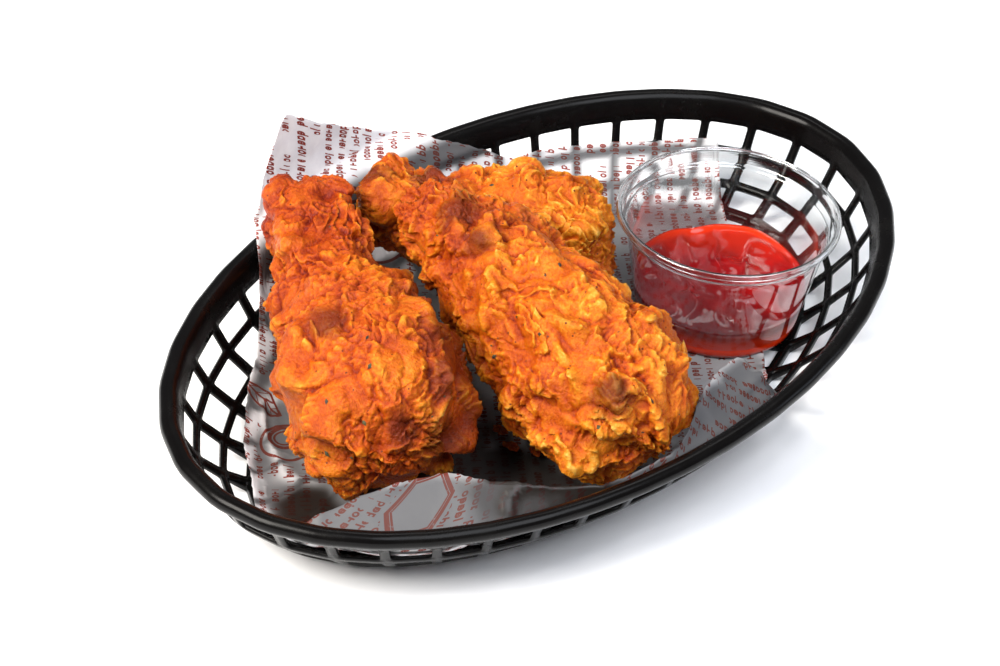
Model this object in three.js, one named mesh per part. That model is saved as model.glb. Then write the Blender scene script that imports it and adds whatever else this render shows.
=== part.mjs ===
// Fried chicken drumsticks in an oval fast food basket, with a paper liner and a cup of tomato dip.
// Millimetres, +Z up. The origin is the centre of the basket's flat underside, +X runs along the
// basket towards the cup, and +Y points to the side where the paper stands above the rim.
import * as THREE from 'three';

// Basket
const BASKET_LENGTH = 238;
const BASKET_WIDTH = 146.5;
const RIB_COUNT = 40;
const RIB_WIDTH = 2.3;
const FLOOR_THICKNESS = 2.4;
const OVAL_STEPS = 2880;
// Sections are given as [inset from the rim's outer oval, height].
const WINDOW_TOP = { inner: [6.6, 20.8], outer: [5.4, 20.5] };
const RIM_SECTION = [[5.3, 26.4], [3.8, 28.4], [1.6, 28.6], [0.2, 27.3], [0, 25.2]];
const WALL_ROWS = [
  { inner: [9.4, 15.2], outer: [8.4, 14.5], below: 'hoop' },
  { inner: [10.6, 13.4], outer: [9.8, 12.3], below: 'ribs' },
  { inner: [15.8, 8.0], outer: [15.1, 6.7], below: 'hoop' },
  { inner: [17.4, 6.6], outer: [16.8, 5.2], below: 'ribs' },
  { inner: [22.4, 3.1], outer: [22.2, 0], below: 'hoop' },
  { inner: [24.8, FLOOR_THICKNESS], outer: [24.8, 0], below: 'ribs' },
  { inner: [31.6, FLOOR_THICKNESS], outer: [31.6, 0], below: 'hoop' },
  { inner: [34.0, FLOOR_THICKNESS], outer: [34.0, 0], below: 'alternate ribs' },
  { inner: [48.0, FLOOR_THICKNESS], outer: [48.0, 0], below: 'plate' },
];
// The mould's ribs open and close a little round the oval: shift, first and second wave in mm.
const RIB_DRIFT = { shift: -3.65, first: 3.04, firstPhase: -0.4, second: 5.15, secondPhase: -1.74 };

// Paper liner
const PAPER_GAP = 0.35;
const PAPER_THICKNESS = 0.6;
const PAPER_STATIONS = 60;
const PAPER_ROWS = [0.4, 0.68, 0.84, 0.93, 1.0];
const PAPER_HEM = 2.4;
const PAPER_HEM_ROWS = 3;
// The sheet's two long edges run parallel, at this turn from +X and these distances from the centre.
const PAPER_TURN = 47.5;
const PAPER_LEFT_REACH = 81;
const PAPER_RIGHT_REACH = 60;
// Height of the sheet's upper edge, by degrees round the basket.
const PAPER_EDGE = [
  [22, 17], [34, 15.2], [50, 16.3], [60, 18.5], [66, 22.5], [72, 29.2], [78, 32.5], [89, 41],
  [103.6, 59], [109, 41], [115, 31], [120, 29], [122, 24], [180, 21], [192, 21], [198, 22.8],
  [204, 26.2], [210, 27.8], [216, 28.4], [222, 25.6], [228, 24.5], [258, 24.6], [264, 26.6],
  [270, 29.2], [276, 29.6], [282, 14], [288, 6], [294, 4], [300, 3],
];
// Where the sheet lies across the wall and then over the rim, as [inset, height of its underside].
const PAPER_PATH = [
  [24.8, 2.4], [17.1, 7.2], [10.2, 14.3], [7.4, 20.8], [6.8, 26.4], [5.2, 29.6], [-1.8, 31],
  [-3.4, 39], [-1.4, 62],
];
const PAPER_CREST_STEP = 5;
// The first steps of the path follow the basket's floor and wall.
const PAPER_WALL_STEPS = 5;
// Step of the walk that finds the sheet's edge, and of the slope taken across it
const PAPER_STEP = 0.5;
const PAPER_LONGEST = 200;
// On the near side the top of the sheet leans in, away from the rim.
const PAPER_LEAN = [[8.4, 22.6], [20, 29.8]];

// Food: the top of the paper on the floor, and the clearance kept from it and from the walls
const FOOD_GAP = 0.35;
const REST_HEIGHT = FLOOR_THICKNESS + PAPER_GAP + PAPER_THICKNESS + FOOD_GAP;
const WALL_CLEARANCE = 2.3;
const POINTS_AROUND = 33;
// Crust bumps rise over the plain form, which is sunk by this much to keep the girth.
const CRUST_SINK = 1.7;
const CAP_RINGS = 6;
const SHANK_RINGS = 18;
// Bumps start before the thick end and stop past the knuckle, in shares of the line; sizes in mm.
const BUMP_PLACES = { from: -0.35, to: 1.15 };
const BUMP_LENGTH = { from: 4, to: 9 };
const BUMP_WIDTH = { from: 2.4, to: 4.2 };
const BUMP_HEIGHT = { from: 1.8, to: 4.4 };
const BUMP_SLANT = { from: -1.2, to: 1.2 };
const BUMP_FALL = 1.6;

// Dip cup and its dip
const CUP_CENTRE = [51.8, -18.2];
const CUP_BASE_RADIUS = 22.4;
const CUP_TOP_RADIUS = 28.2;
const CUP_RIM_RADIUS = 30.4;
const CUP_HEIGHT = 34;
const CUP_WALL = 0.8;
const CUP_SIDES = 32;
const CUP_SKIRT = 5;
const CUP_FLOOR = 1.8;
const CUP_KICK = 0.8;
const DIP_LEVEL = 14.4;
const DIP_GAP = 0.35;
const DIP_DRAFT = 0.15;
// Slow waves of the dip's top: how far it slopes, and rounded humps by place, reach and height in mm.
const DIP_SLOPE = [0.035, 0.03];
const DIP_HUMPS = [
  { place: [-2, -2], reach: [8, 13], height: 2.2 },
  { place: [-12, 9], reach: [7, 8], height: -1.6 },
];

const materials = {
  plastic: new THREE.MeshStandardMaterial({ color: '#191714', roughness: 0.35, metalness: 0 }),
  paper: new THREE.MeshStandardMaterial({ color: '#dcdadb', roughness: 0.8, metalness: 0 }),
  crust: new THREE.MeshStandardMaterial({ color: '#d9812c', roughness: 0.6, metalness: 0 }),
  clear: new THREE.MeshStandardMaterial({
    color: '#e6ecee', roughness: 0.08, metalness: 0, transparent: true, opacity: 0.35,
  }),
  dip: new THREE.MeshStandardMaterial({ color: '#b3140c', roughness: 0.18, metalness: 0 }),
};

// Seeded random numbers from 0 to 1, so that every build gives the same crust.
function randomFrom(seed) {
  let state = seed >>> 0;
  return () => {
    state = (state + 0x6d2b79f5) >>> 0;
    let mixed = Math.imul(state ^ (state >>> 15), 1 | state);
    mixed = (mixed + Math.imul(mixed ^ (mixed >>> 7), 61 | mixed)) ^ mixed;
    return ((mixed ^ (mixed >>> 14)) >>> 0) / 4294967296;
  };
}

function degrees(value) {
  return (value * Math.PI) / 180;
}

function within({ from, to }, share) {
  return from + (to - from) * share;
}

// Straight-line reading of a list of [position, value] pairs.
function readAlong(pairs, position) {
  let last = pairs[0];
  for (const pair of pairs) {
    if (pair[0] >= position) {
      const span = pair[0] - last[0];
      const share = span > 0 ? (position - last[0]) / span : 0;
      return last[1] + (pair[1] - last[1]) * share;
    }
    last = pair;
  }
  return last[1];
}

// A point on the oval that lies `inset` inside the rim's outer oval.
function ovalPoint(angle, inset, height) {
  return [
    (BASKET_LENGTH / 2 - inset) * Math.cos(angle),
    (BASKET_WIDTH / 2 - inset) * Math.sin(angle),
    height,
  ];
}

function geometryFrom(points, triangles) {
  const geometry = new THREE.BufferGeometry();
  geometry.setAttribute('position', new THREE.Float32BufferAttribute(points.flat(), 3));
  geometry.setIndex(triangles.flat());
  geometry.computeVertexNormals();
  return geometry;
}

function addQuad(triangles, a, b, c, d) {
  triangles.push([a, b, c], [a, c, d]);
}

// Angles of the ribs' middles, near enough equal steps round the window's top oval.
function ribAngles() {
  const a = BASKET_LENGTH / 2 - WINDOW_TOP.inner[0];
  const b = BASKET_WIDTH / 2 - WINDOW_TOP.inner[0];
  const steps = OVAL_STEPS;
  const runs = [[0, 0]];
  for (let i = 1; i <= steps; i += 1) {
    const turn = (2 * Math.PI * (i - 0.5)) / steps;
    const piece = Math.hypot(a * Math.sin(turn), b * Math.cos(turn)) * ((2 * Math.PI) / steps);
    runs.push([runs[i - 1][0] + piece, (2 * Math.PI * i) / steps]);
  }
  const round = runs[steps][0];
  const angles = [];
  for (let k = 0; k < RIB_COUNT; k += 1) {
    const phase = (2 * Math.PI * k) / RIB_COUNT;
    const first = RIB_DRIFT.first * Math.sin(phase - RIB_DRIFT.firstPhase);
    const second = RIB_DRIFT.second * Math.sin(2 * phase - RIB_DRIFT.secondPhase);
    const run = (round * k) / RIB_COUNT + RIB_DRIFT.shift + first + second;
    const wrapped = ((run % round) + round) % round;
    angles.push(readAlong(runs, wrapped));
  }
  return angles;
}

// One moulding: rim, hoops, ribs and floor plate share their edges, with open windows between them.
function basketGeometry() {
  const ribs = ribAngles();
  const columns = 2 * RIB_COUNT;
  const points = [];
  const triangles = [];
  const row = ([inset, height]) => {
    const start = points.length;
    const a = BASKET_LENGTH / 2 - inset;
    const b = BASKET_WIDTH / 2 - inset;
    for (const angle of ribs) {
      const pace = Math.hypot(a * Math.sin(angle), b * Math.cos(angle));
      const half = RIB_WIDTH / 2 / pace;
      points.push(ovalPoint(angle - half, inset, height), ovalPoint(angle + half, inset, height));
    }
    return start;
  };
  // Joins two rows over column c with the face on the left of the walk from `from` to `to`.
  const band = (from, to, c) => {
    const next = (c + 1) % columns;
    addQuad(triangles, from + c, to + c, to + next, from + next);
  };
  const wall = [{ ...WINDOW_TOP, below: 'ribs' }, ...WALL_ROWS];
  const inner = wall.map((step) => row(step.inner));
  const outer = wall.map((step) => row(step.outer));
  const rim = [inner[0], ...RIM_SECTION.map(row), outer[0]];
  for (let i = 0; i + 1 < rim.length; i += 1) {
    for (let c = 0; c < columns; c += 1) {
      band(rim[i], rim[i + 1], c);
    }
  }
  const isSolid = (below, c) => {
    const onRib = c % 2 === 0;
    if (below === 'hoop') return true;
    if (below === 'ribs') return onRib;
    return c % 4 === 0;
  };
  for (let i = 0; i + 1 < wall.length; i += 1) {
    for (let c = 0; c < columns; c += 1) {
      const next = (c + 1) % columns;
      if (isSolid(wall[i].below, c)) {
        band(inner[i + 1], inner[i], c);
        band(outer[i], outer[i + 1], c);
        if (!isSolid(wall[i].below, (c + columns - 1) % columns)) {
          addQuad(triangles, inner[i] + c, inner[i + 1] + c, outer[i + 1] + c, outer[i] + c);
        }
        if (!isSolid(wall[i].below, next)) {
          addQuad(triangles, outer[i] + next, outer[i + 1] + next, inner[i + 1] + next, inner[i] + next);
        }
      } else {
        addQuad(triangles, inner[i] + c, inner[i] + next, outer[i] + next, outer[i] + c);
        addQuad(triangles, inner[i + 1] + next, inner[i + 1] + c, outer[i + 1] + c, outer[i + 1] + next);
      }
    }
  }
  const top = points.push([0, 0, FLOOR_THICKNESS]) - 1;
  const bottom = points.push([0, 0, 0]) - 1;
  const last = wall.length - 1;
  for (let c = 0; c < columns; c += 1) {
    const next = (c + 1) % columns;
    triangles.push([top, inner[last] + c, inner[last] + next]);
    triangles.push([bottom, outer[last] + next, outer[last] + c]);
  }
  return geometryFrom(points, triangles);
}

function paperPath(angle) {
  const leansIn = Math.sin(angle) < 0;
  return leansIn ? [...PAPER_PATH.slice(0, 4), ...PAPER_LEAN] : PAPER_PATH;
}

// The paper's path from the middle of the floor, over the wall and the rim: run length to a point.
function paperPoint(angle, run) {
  const path = paperPath(angle);
  const floorEnd = path[0];
  const centreInset = floorEnd[0];
  const floorPoint = ovalPoint(angle, centreInset, floorEnd[1]);
  const floorRun = Math.hypot(floorPoint[0], floorPoint[1]);
  if (run <= floorRun) {
    const share = run / floorRun;
    return [floorPoint[0] * share, floorPoint[1] * share, floorEnd[1]];
  }
  let left = run - floorRun;
  let here = floorPoint;
  for (const [inset, height] of path.slice(1)) {
    const next = ovalPoint(angle, inset, height);
    const length = Math.hypot(next[0] - here[0], next[1] - here[1], next[2] - here[2]);
    if (left <= length) {
      const share = left / length;
      return here.map((value, axis) => value + (next[axis] - value) * share);
    }
    left -= length;
    here = next;
  }
  return here;
}

// Run length from the middle of the floor to a step of the path.
function runTo(angle, step) {
  const path = paperPath(angle);
  const floorPoint = ovalPoint(angle, ...path[0]);
  let run = Math.hypot(floorPoint[0], floorPoint[1]);
  for (let i = 1; i <= Math.min(step, path.length - 1); i += 1) {
    const before = ovalPoint(angle, ...path[i - 1]);
    const here = ovalPoint(angle, ...path[i]);
    run += Math.hypot(here[0] - before[0], here[1] - before[1], here[2] - before[2]);
  }
  return run;
}

// How far the sheet runs out from the middle at this angle, up to its edge.
function paperRun(angle) {
  const turn = (THREE.MathUtils.radToDeg(angle) + 360) % 360;
  const across = [Math.sin(degrees(PAPER_TURN)), -Math.cos(degrees(PAPER_TURN))];
  const edgeHeight = turn >= PAPER_EDGE[0][0] ? readAlong(PAPER_EDGE, turn) : PAPER_LONGEST;
  let run = 0;
  let inside = true;
  while (inside && run < PAPER_LONGEST) {
    run += PAPER_STEP;
    const [x, y, z] = paperPoint(angle, run);
    const side = x * across[0] + y * across[1];
    inside = z < edgeHeight && side > -PAPER_LEFT_REACH && side < PAPER_RIGHT_REACH;
  }
  return run - PAPER_STEP;
}

// Run lengths of the sheet's rows: most reach the rim's crest at most, the hem's rows go on from there.
function paperRows(angle) {
  const full = paperRun(angle);
  const crest = runTo(angle, PAPER_CREST_STEP);
  const pastCrest = runTo(angle, PAPER_CREST_STEP + 1);
  const main = Math.min(full - PAPER_HEM, crest);
  const overRim = full > pastCrest + PAPER_HEM;
  const hemStart = overRim ? pastCrest : main + (full - main) / PAPER_HEM_ROWS;
  const rows = PAPER_ROWS.map((share) => main * share);
  for (let i = 0; i < PAPER_HEM_ROWS; i += 1) {
    rows.push(hemStart + ((full - hemStart) * i) / (PAPER_HEM_ROWS - 1));
  }
  return rows;
}

// A thin sheet laid through the basket, both faces split into triangles alike.
function paperGeometry() {
  const points = [];
  const triangles = [];
  const stations = [];
  for (let i = 0; i < PAPER_STATIONS; i += 1) {
    const angle = (2 * Math.PI * i) / PAPER_STATIONS;
    stations.push({ angle, runs: paperRows(angle) });
  }
  const rowCount = PAPER_ROWS.length + PAPER_HEM_ROWS;
  const faces = [0, 1].map((side) => {
    const lift = PAPER_GAP + side * PAPER_THICKNESS;
    const rows = [];
    for (let r = 0; r < rowCount; r += 1) {
      rows.push(points.length);
      for (const { angle, runs } of stations) {
        const [x, y, z] = paperPoint(angle, runs[r]);
        const before = paperPoint(angle, runs[r] - PAPER_STEP);
        const after = paperPoint(angle, runs[r] + PAPER_STEP);
        const rise = after[2] - before[2];
        const out = Math.hypot(after[0], after[1]) - Math.hypot(before[0], before[1]);
        const slope = Math.hypot(rise, out) || 1;
        const away = Math.hypot(x / (BASKET_LENGTH / 2) ** 2, y / (BASKET_WIDTH / 2) ** 2);
        const normal = [x / (BASKET_LENGTH / 2) ** 2 / away, y / (BASKET_WIDTH / 2) ** 2 / away];
        points.push([
          x - (normal[0] * lift * rise) / slope,
          y - (normal[1] * lift * rise) / slope,
          z + (lift * out) / slope,
        ]);
      }
    }
    const middle = points.push([0, 0, FLOOR_THICKNESS + lift]) - 1;
    return { rows, middle };
  });
  const [under, over] = faces;
  for (let i = 0; i < PAPER_STATIONS; i += 1) {
    const next = (i + 1) % PAPER_STATIONS;
    triangles.push([over.middle, over.rows[0] + i, over.rows[0] + next]);
    triangles.push([under.middle, under.rows[0] + next, under.rows[0] + i]);
    for (let r = 0; r + 1 < rowCount; r += 1) {
      const [inner, outer] = [over.rows[r], over.rows[r + 1]];
      addQuad(triangles, inner + i, outer + i, outer + next, inner + next);
      const [near, far] = [under.rows[r], under.rows[r + 1]];
      triangles.push([near + i, far + next, far + i], [near + i, near + next, far + next]);
    }
    const [top, below] = [over.rows[rowCount - 1], under.rows[rowCount - 1]];
    addQuad(triangles, top + i, below + i, below + next, top + next);
  }
  return geometryFrom(points, triangles);
}

// Keeps a point of the crust off the paper on the floor and inside the lined walls.
function settle(point) {
  const [x, y] = point;
  const z = Math.max(point[2], REST_HEIGHT);
  const wall = paperPath(Math.atan2(y, x)).slice(0, PAPER_WALL_STEPS);
  const heights = wall.map(([inset, height]) => [height, inset]);
  const inset = readAlong(heights, z) + WALL_CLEARANCE;
  const a = BASKET_LENGTH / 2 - inset;
  const b = BASKET_WIDTH / 2 - inset;
  const reach = Math.hypot(x / a, y / b);
  const wallTop = heights[PAPER_WALL_STEPS - 1][0];
  const squeeze = reach > 1 && z < wallTop ? 1 / reach : 1;
  return [x * squeeze, y * squeeze, z];
}

// Crags and folds: seeded bumps, long ones turned to a slant, over the whole length and all round.
function crustBumps(seed, count) {
  const random = randomFrom(seed);
  const bumps = [];
  for (let i = 0; i < count; i += 1) {
    bumps.push({
      along: within(BUMP_PLACES, random()),
      around: 2 * Math.PI * random(),
      length: within(BUMP_LENGTH, random()),
      width: within(BUMP_WIDTH, random()),
      slant: within(BUMP_SLANT, random()),
      height: within(BUMP_HEIGHT, random()),
    });
  }
  return bumps;
}

// Height of the crust over the plain form at a place given along and around it.
function crustHeight(bumps, along, around, radius, length) {
  let height = 0;
  for (const bump of bumps) {
    const dx = (along - bump.along) * length;
    const turn = Math.atan2(Math.sin(around - bump.around), Math.cos(around - bump.around));
    const dy = turn * radius;
    const u = (dx * Math.cos(bump.slant) + dy * Math.sin(bump.slant)) / bump.length;
    const v = (dy * Math.cos(bump.slant) - dx * Math.sin(bump.slant)) / bump.width;
    height += bump.height * Math.exp(-(u * u + v * v) * BUMP_FALL);
  }
  return height - CRUST_SINK;
}

// A drumstick round a bent line: a round thick end, a narrowing shank and a knuckle, in rough crust.
function drumstickGeometry({ line, girth, seed, bumpCount }) {
  const curve = new THREE.CatmullRomCurve3(line.map((point) => new THREE.Vector3(...point)));
  const length = curve.getLength();
  const bumps = crustBumps(seed, bumpCount);
  const stations = [];
  for (let i = 1; i <= CAP_RINGS; i += 1) {
    const tilt = (Math.PI / 2) * (i / CAP_RINGS);
    stations.push({ along: 0, back: Math.cos(tilt), share: Math.sin(tilt) });
  }
  for (let i = 1; i <= SHANK_RINGS; i += 1) {
    stations.push({ along: i / (SHANK_RINGS + 1), back: 0, share: 1 });
  }
  for (let i = 0; i < CAP_RINGS; i += 1) {
    const tilt = (Math.PI / 2) * (i / CAP_RINGS);
    stations.push({ along: 1, back: -Math.sin(tilt), share: Math.cos(tilt) });
  }
  const place = ({ along, back, share }, around) => {
    const centre = curve.getPointAt(along);
    const ahead = curve.getTangentAt(along);
    const side = new THREE.Vector3(0, 0, 1).cross(ahead).normalize();
    const up = new THREE.Vector3().crossVectors(ahead, side);
    const radius = readAlong(girth, along);
    const position = along - (back * radius) / length;
    const crust = crustHeight(bumps, position, around, radius, length);
    const out = new THREE.Vector3()
      .addScaledVector(side, Math.cos(around) * share)
      .addScaledVector(up, Math.sin(around) * share)
      .addScaledVector(ahead, -back);
    return settle(centre.clone().addScaledVector(out, radius + crust).toArray());
  };
  const points = [];
  const triangles = [];
  for (const station of stations) {
    for (let i = 0; i < POINTS_AROUND; i += 1) {
      points.push(place(station, (2 * Math.PI * i) / POINTS_AROUND));
    }
  }
  const startPole = points.push(place({ along: 0, back: 1, share: 0 }, 0)) - 1;
  const endPole = points.push(place({ along: 1, back: -1, share: 0 }, 0)) - 1;
  for (let i = 0; i < POINTS_AROUND; i += 1) {
    const next = (i + 1) % POINTS_AROUND;
    triangles.push([startPole, next, i]);
    for (let r = 0; r + 1 < stations.length; r += 1) {
      const here = r * POINTS_AROUND;
      const ahead = here + POINTS_AROUND;
      addQuad(triangles, here + i, here + next, ahead + next, ahead + i);
    }
    const last = (stations.length - 1) * POINTS_AROUND;
    triangles.push([endPole, last + i, last + next]);
  }
  return geometryFrom(points, triangles);
}

// Radius of the cup's inner wall at a height above its foot.
function cupInnerRadius(height) {
  const share = height / CUP_HEIGHT;
  return CUP_BASE_RADIUS - CUP_WALL + (CUP_TOP_RADIUS - CUP_BASE_RADIUS) * share;
}

// A clear tapered cup with a raised middle underneath, a skirt and a rolled rim.
function cupGeometry() {
  const draft = CUP_TOP_RADIUS - CUP_BASE_RADIUS;
  const shoulder = CUP_HEIGHT - CUP_SKIRT;
  const shoulderRadius = CUP_BASE_RADIUS + (draft * shoulder) / CUP_HEIGHT;
  const profile = [
    [0, CUP_KICK],
    [CUP_BASE_RADIUS - 3.2, CUP_KICK],
    [CUP_BASE_RADIUS - 2.4, 0],
    [CUP_BASE_RADIUS - 0.6, 0],
    [CUP_BASE_RADIUS, 0.9],
    [shoulderRadius, shoulder],
    [shoulderRadius + 0.9, shoulder + 0.8],
    [CUP_RIM_RADIUS - 0.9, CUP_HEIGHT - 2.4],
    [CUP_RIM_RADIUS, CUP_HEIGHT - 2.0],
    [CUP_RIM_RADIUS, CUP_HEIGHT - 0.5],
    [CUP_RIM_RADIUS - 0.7, CUP_HEIGHT],
    [cupInnerRadius(CUP_HEIGHT) + 0.5, CUP_HEIGHT - 0.4],
    [cupInnerRadius(shoulder), shoulder],
    [cupInnerRadius(CUP_FLOOR), CUP_FLOOR],
    [0, CUP_KICK + CUP_WALL],
  ];
  return new THREE.LatheGeometry(profile.map(([r, h]) => new THREE.Vector2(r, h)), CUP_SIDES);
}

// Height of the dip's slow waves over its level: a fold left of the middle, higher at one side.
function dipWave(x, y) {
  let height = DIP_SLOPE[0] * x + DIP_SLOPE[1] * y;
  for (const hump of DIP_HUMPS) {
    const u = (x - hump.place[0]) / hump.reach[0];
    const v = (y - hump.place[1]) / hump.reach[1];
    height += hump.height * Math.exp(-u * u - v * v);
  }
  return height;
}

// The dip fills the cup's foot up to a wavy top.
function dipGeometry() {
  const around = CUP_SIDES;
  const floor = CUP_FLOOR + DIP_GAP;
  const brim = DIP_LEVEL - REST_HEIGHT;
  const rings = [
    { share: 0.5, height: floor },
    { share: 1, height: floor },
    { share: 1, height: brim },
    { share: 0.82, height: brim },
    { share: 0.6, height: brim },
    { share: 0.36, height: brim },
    { share: 0.16, height: brim },
  ];
  const points = [];
  const triangles = [];
  for (const { share, height } of rings) {
    for (let i = 0; i < around; i += 1) {
      const angle = (2 * Math.PI * i) / around;
      const radius = (cupInnerRadius(height) - DIP_GAP - DIP_DRAFT) * share;
      const x = radius * Math.cos(angle);
      const y = radius * Math.sin(angle);
      points.push([x, y, height === brim ? brim + dipWave(x, y) : floor]);
    }
  }
  const under = points.push([0, 0, floor]) - 1;
  const crown = points.push([0, 0, brim + dipWave(0, 0)]) - 1;
  for (let i = 0; i < around; i += 1) {
    const next = (i + 1) % around;
    triangles.push([under, next, i]);
    for (let r = 0; r + 1 < rings.length; r += 1) {
      const here = r * around;
      const above = here + around;
      addQuad(triangles, here + i, here + next, above + next, above + i);
    }
    const last = (rings.length - 1) * around;
    triangles.push([crown, last + i, last + next]);
  }
  return geometryFrom(points, triangles);
}

// Line points run from the thick end's centre to the knuckle's; girth is [share of the line, radius].
const DRUMSTICKS = {
  drumstick_left: {
    line: [[-65.6, -1.4, 28.6], [-55.8, 14.8, 30], [-43.6, 37, 34], [-34.2, 54.5, 36.8]],
    girth: [[0, 23.4], [0.2, 23.2], [0.42, 19.6], [0.6, 15], [0.75, 12.6], [0.9, 12.8], [1, 11.8]],
    seed: 11,
    bumpCount: 84,
  },
  drumstick_middle: {
    line: [[-22, -38, 28.8], [-18.2, -6.8, 36], [-15.5, 13.2, 40.5], [-16.6, 25.6, 42.5]],
    girth: [[0, 22.6], [0.25, 22.4], [0.45, 20.6], [0.75, 16.2], [0.92, 12.4], [1, 10.2]],
    seed: 23,
    bumpCount: 84,
  },
  drumstick_back: {
    line: [[16.9, 16.4, 24.7], [9.6, 28.4, 26.5], [1, 41, 29], [-5, 50.5, 31]],
    girth: [[0, 20.4], [0.25, 19], [0.5, 15], [0.75, 12.4], [1, 11.8]],
    seed: 37,
    bumpCount: 60,
  },
};

function meshNamed(name, geometry, material) {
  const mesh = new THREE.Mesh(geometry, material);
  mesh.name = name;
  return mesh;
}

const part = new THREE.Group();
part.add(meshNamed('basket', basketGeometry(), materials.plastic));
part.add(meshNamed('paper_liner', paperGeometry(), materials.paper));
for (const [name, shape] of Object.entries(DRUMSTICKS)) {
  part.add(meshNamed(name, drumstickGeometry(shape), materials.crust));
}

const cup = new THREE.Group();
cup.position.set(CUP_CENTRE[0], CUP_CENTRE[1], REST_HEIGHT);
const cupMesh = meshNamed('dip_cup', cupGeometry(), materials.clear);
cupMesh.rotation.x = Math.PI / 2;
cup.add(cupMesh);
cup.add(meshNamed('tomato_dip', dipGeometry(), materials.dip));
part.add(cup);

export default part;
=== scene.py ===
"""Fried drumsticks on a printed paper liner in an oval open-weave basket, with a cup of tomato dip.

Sizes are in millimetres until a mesh is made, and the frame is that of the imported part: +X runs along
the basket towards the cup, +Z is up and the origin is the centre of the basket's underside.
"""

import itertools
import math
from functools import partial

import bpy
import numpy as np
from bpy.props import FloatProperty, IntProperty, PointerProperty, StringProperty
from mathutils import Matrix, Vector


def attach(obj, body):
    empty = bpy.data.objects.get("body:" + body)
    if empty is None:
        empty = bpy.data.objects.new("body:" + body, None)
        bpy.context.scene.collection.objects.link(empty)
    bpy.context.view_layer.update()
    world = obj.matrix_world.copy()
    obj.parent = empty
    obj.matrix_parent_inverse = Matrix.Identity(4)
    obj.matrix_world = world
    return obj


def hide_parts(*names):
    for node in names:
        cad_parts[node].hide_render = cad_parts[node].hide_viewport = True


bl_info = {
    "name": "Chicken basket",
    "version": (1, 0, 0),
    "blender": (4, 5, 0),
    "location": "View3D > Sidebar > Chicken basket",
    "description": "Fried drumsticks on a paper liner in an oval basket, with a cup of tomato dip",
    "category": "Add Mesh",
}

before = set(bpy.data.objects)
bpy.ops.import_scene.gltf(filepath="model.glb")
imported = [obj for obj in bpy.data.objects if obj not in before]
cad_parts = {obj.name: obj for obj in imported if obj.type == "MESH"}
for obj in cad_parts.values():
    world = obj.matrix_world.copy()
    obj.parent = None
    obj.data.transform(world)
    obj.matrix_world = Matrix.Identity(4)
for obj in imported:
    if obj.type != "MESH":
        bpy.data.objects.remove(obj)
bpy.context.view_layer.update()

MM = 0.001

# Basket sections, as (inset from the rim's outer oval, height) inside and outside, and what is below them
WINDOW_TOP = ((6.6, 20.8), (5.4, 20.5), "ribs")
RIM_SECTION = ((5.5, 25.2), (5.1, 27.0), (3.8, 28.4), (1.7, 28.6), (0.3, 27.6), (0.0, 25.9), (0.9, 24.4))
WALL_ROWS = (
    ((9.4, 15.2), (8.4, 14.5), "hoop"),
    ((10.6, 13.4), (9.8, 12.3), "ribs"),
    ((15.8, 8.0), (15.1, 6.7), "hoop"),
    ((17.4, 6.6), (16.8, 5.2), "ribs"),
    ((22.4, 3.1), (22.2, 0.0), "hoop"),
    ((24.8, 2.4), (24.8, 0.0), "ribs"),
    ((31.6, 2.4), (31.6, 0.0), "hoop"),
    ((34.0, 2.4), (34.0, 0.0), "alternate ribs"),
    ((48.0, 2.4), (48.0, 0.0), "plate"),
)
# The ribs' spacing drifts round the oval: shift, first and second wave with their phases
RIB_DRIFT = (-3.65, 3.04, -0.4, 5.15, -1.74)
# Steps in which the oval's length is added up
OVAL_STEPS = 2880
# Heights of the hoops that the paper lies against
HOOP_LEVELS = (14.3, 7.3, 2.9)

# The sheet's way across the wall and over the rim, as (inset, height), then where it leans in instead
PAPER_PATH = (
    (24.8, 2.4), (17.1, 7.2), (10.2, 14.3), (7.4, 20.8), (6.8, 26.4), (5.2, 29.6), (-1.8, 31.0),
    (-3.4, 39.0), (-1.4, 62.0),
)
# Inset gained per millimetre of height there, by degrees round the basket
PAPER_LEAN = (
    (180, 0.3), (192, 1.2), (197, 2.0), (219, 2.0), (222, 1.85), (226, 1.5), (232, 1.2), (238, 0.9),
    (246, 0.4), (258, 0.6), (265, 1.6), (285, 1.6), (300, 0.3),
)
# Height of the sheet's upper edge by degrees round the basket
PAPER_EDGE = (
    (0, 17), (21.5, 17.1), (27.5, 16.2), (35, 15.2), (46, 16), (58.5, 17.3), (62.5, 16.9), (65.5, 19),
    (70.5, 24.8), (74, 27.7), (77, 29.8), (80, 31), (85, 35.6), (90.5, 42.5), (96.5, 50.1), (102.5, 58.4),
    (104.5, 45.2), (107, 33.5), (110, 30.2), (110.6, 62), (122, 62), (180, 21), (194, 21), (197.4, 22.9),
    (201, 24.6), (204.3, 26), (209.2, 27.2), (214.5, 28), (219, 28.4), (222, 28.5), (226, 28.2),
    (232, 27.5), (238, 26), (246, 24.5), (250, 24), (258, 24.6), (263.5, 25.8), (268.5, 27.8),
    (272.5, 28.5), (277.6, 28.5), (278.6, 21), (282, 12), (288, 6), (294, 4), (300, 3), (360, 3),
)
# The sheet's long edges run this way from +X; distances of its left edge by degrees, and of its right one
PAPER_TURN = math.radians(47.5)
PAPER_LEFT_REACH = (
    (0, 95), (109, 95), (110.5, 75.4), (120, 75.5), (125.5, 76.5), (131.5, 78.7),
    (146.5, 79.8), (154.5, 79.2), (165, 77.9), (180, 77), (360, 77),
)
PAPER_RIGHT_REACH = 60.0

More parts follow.
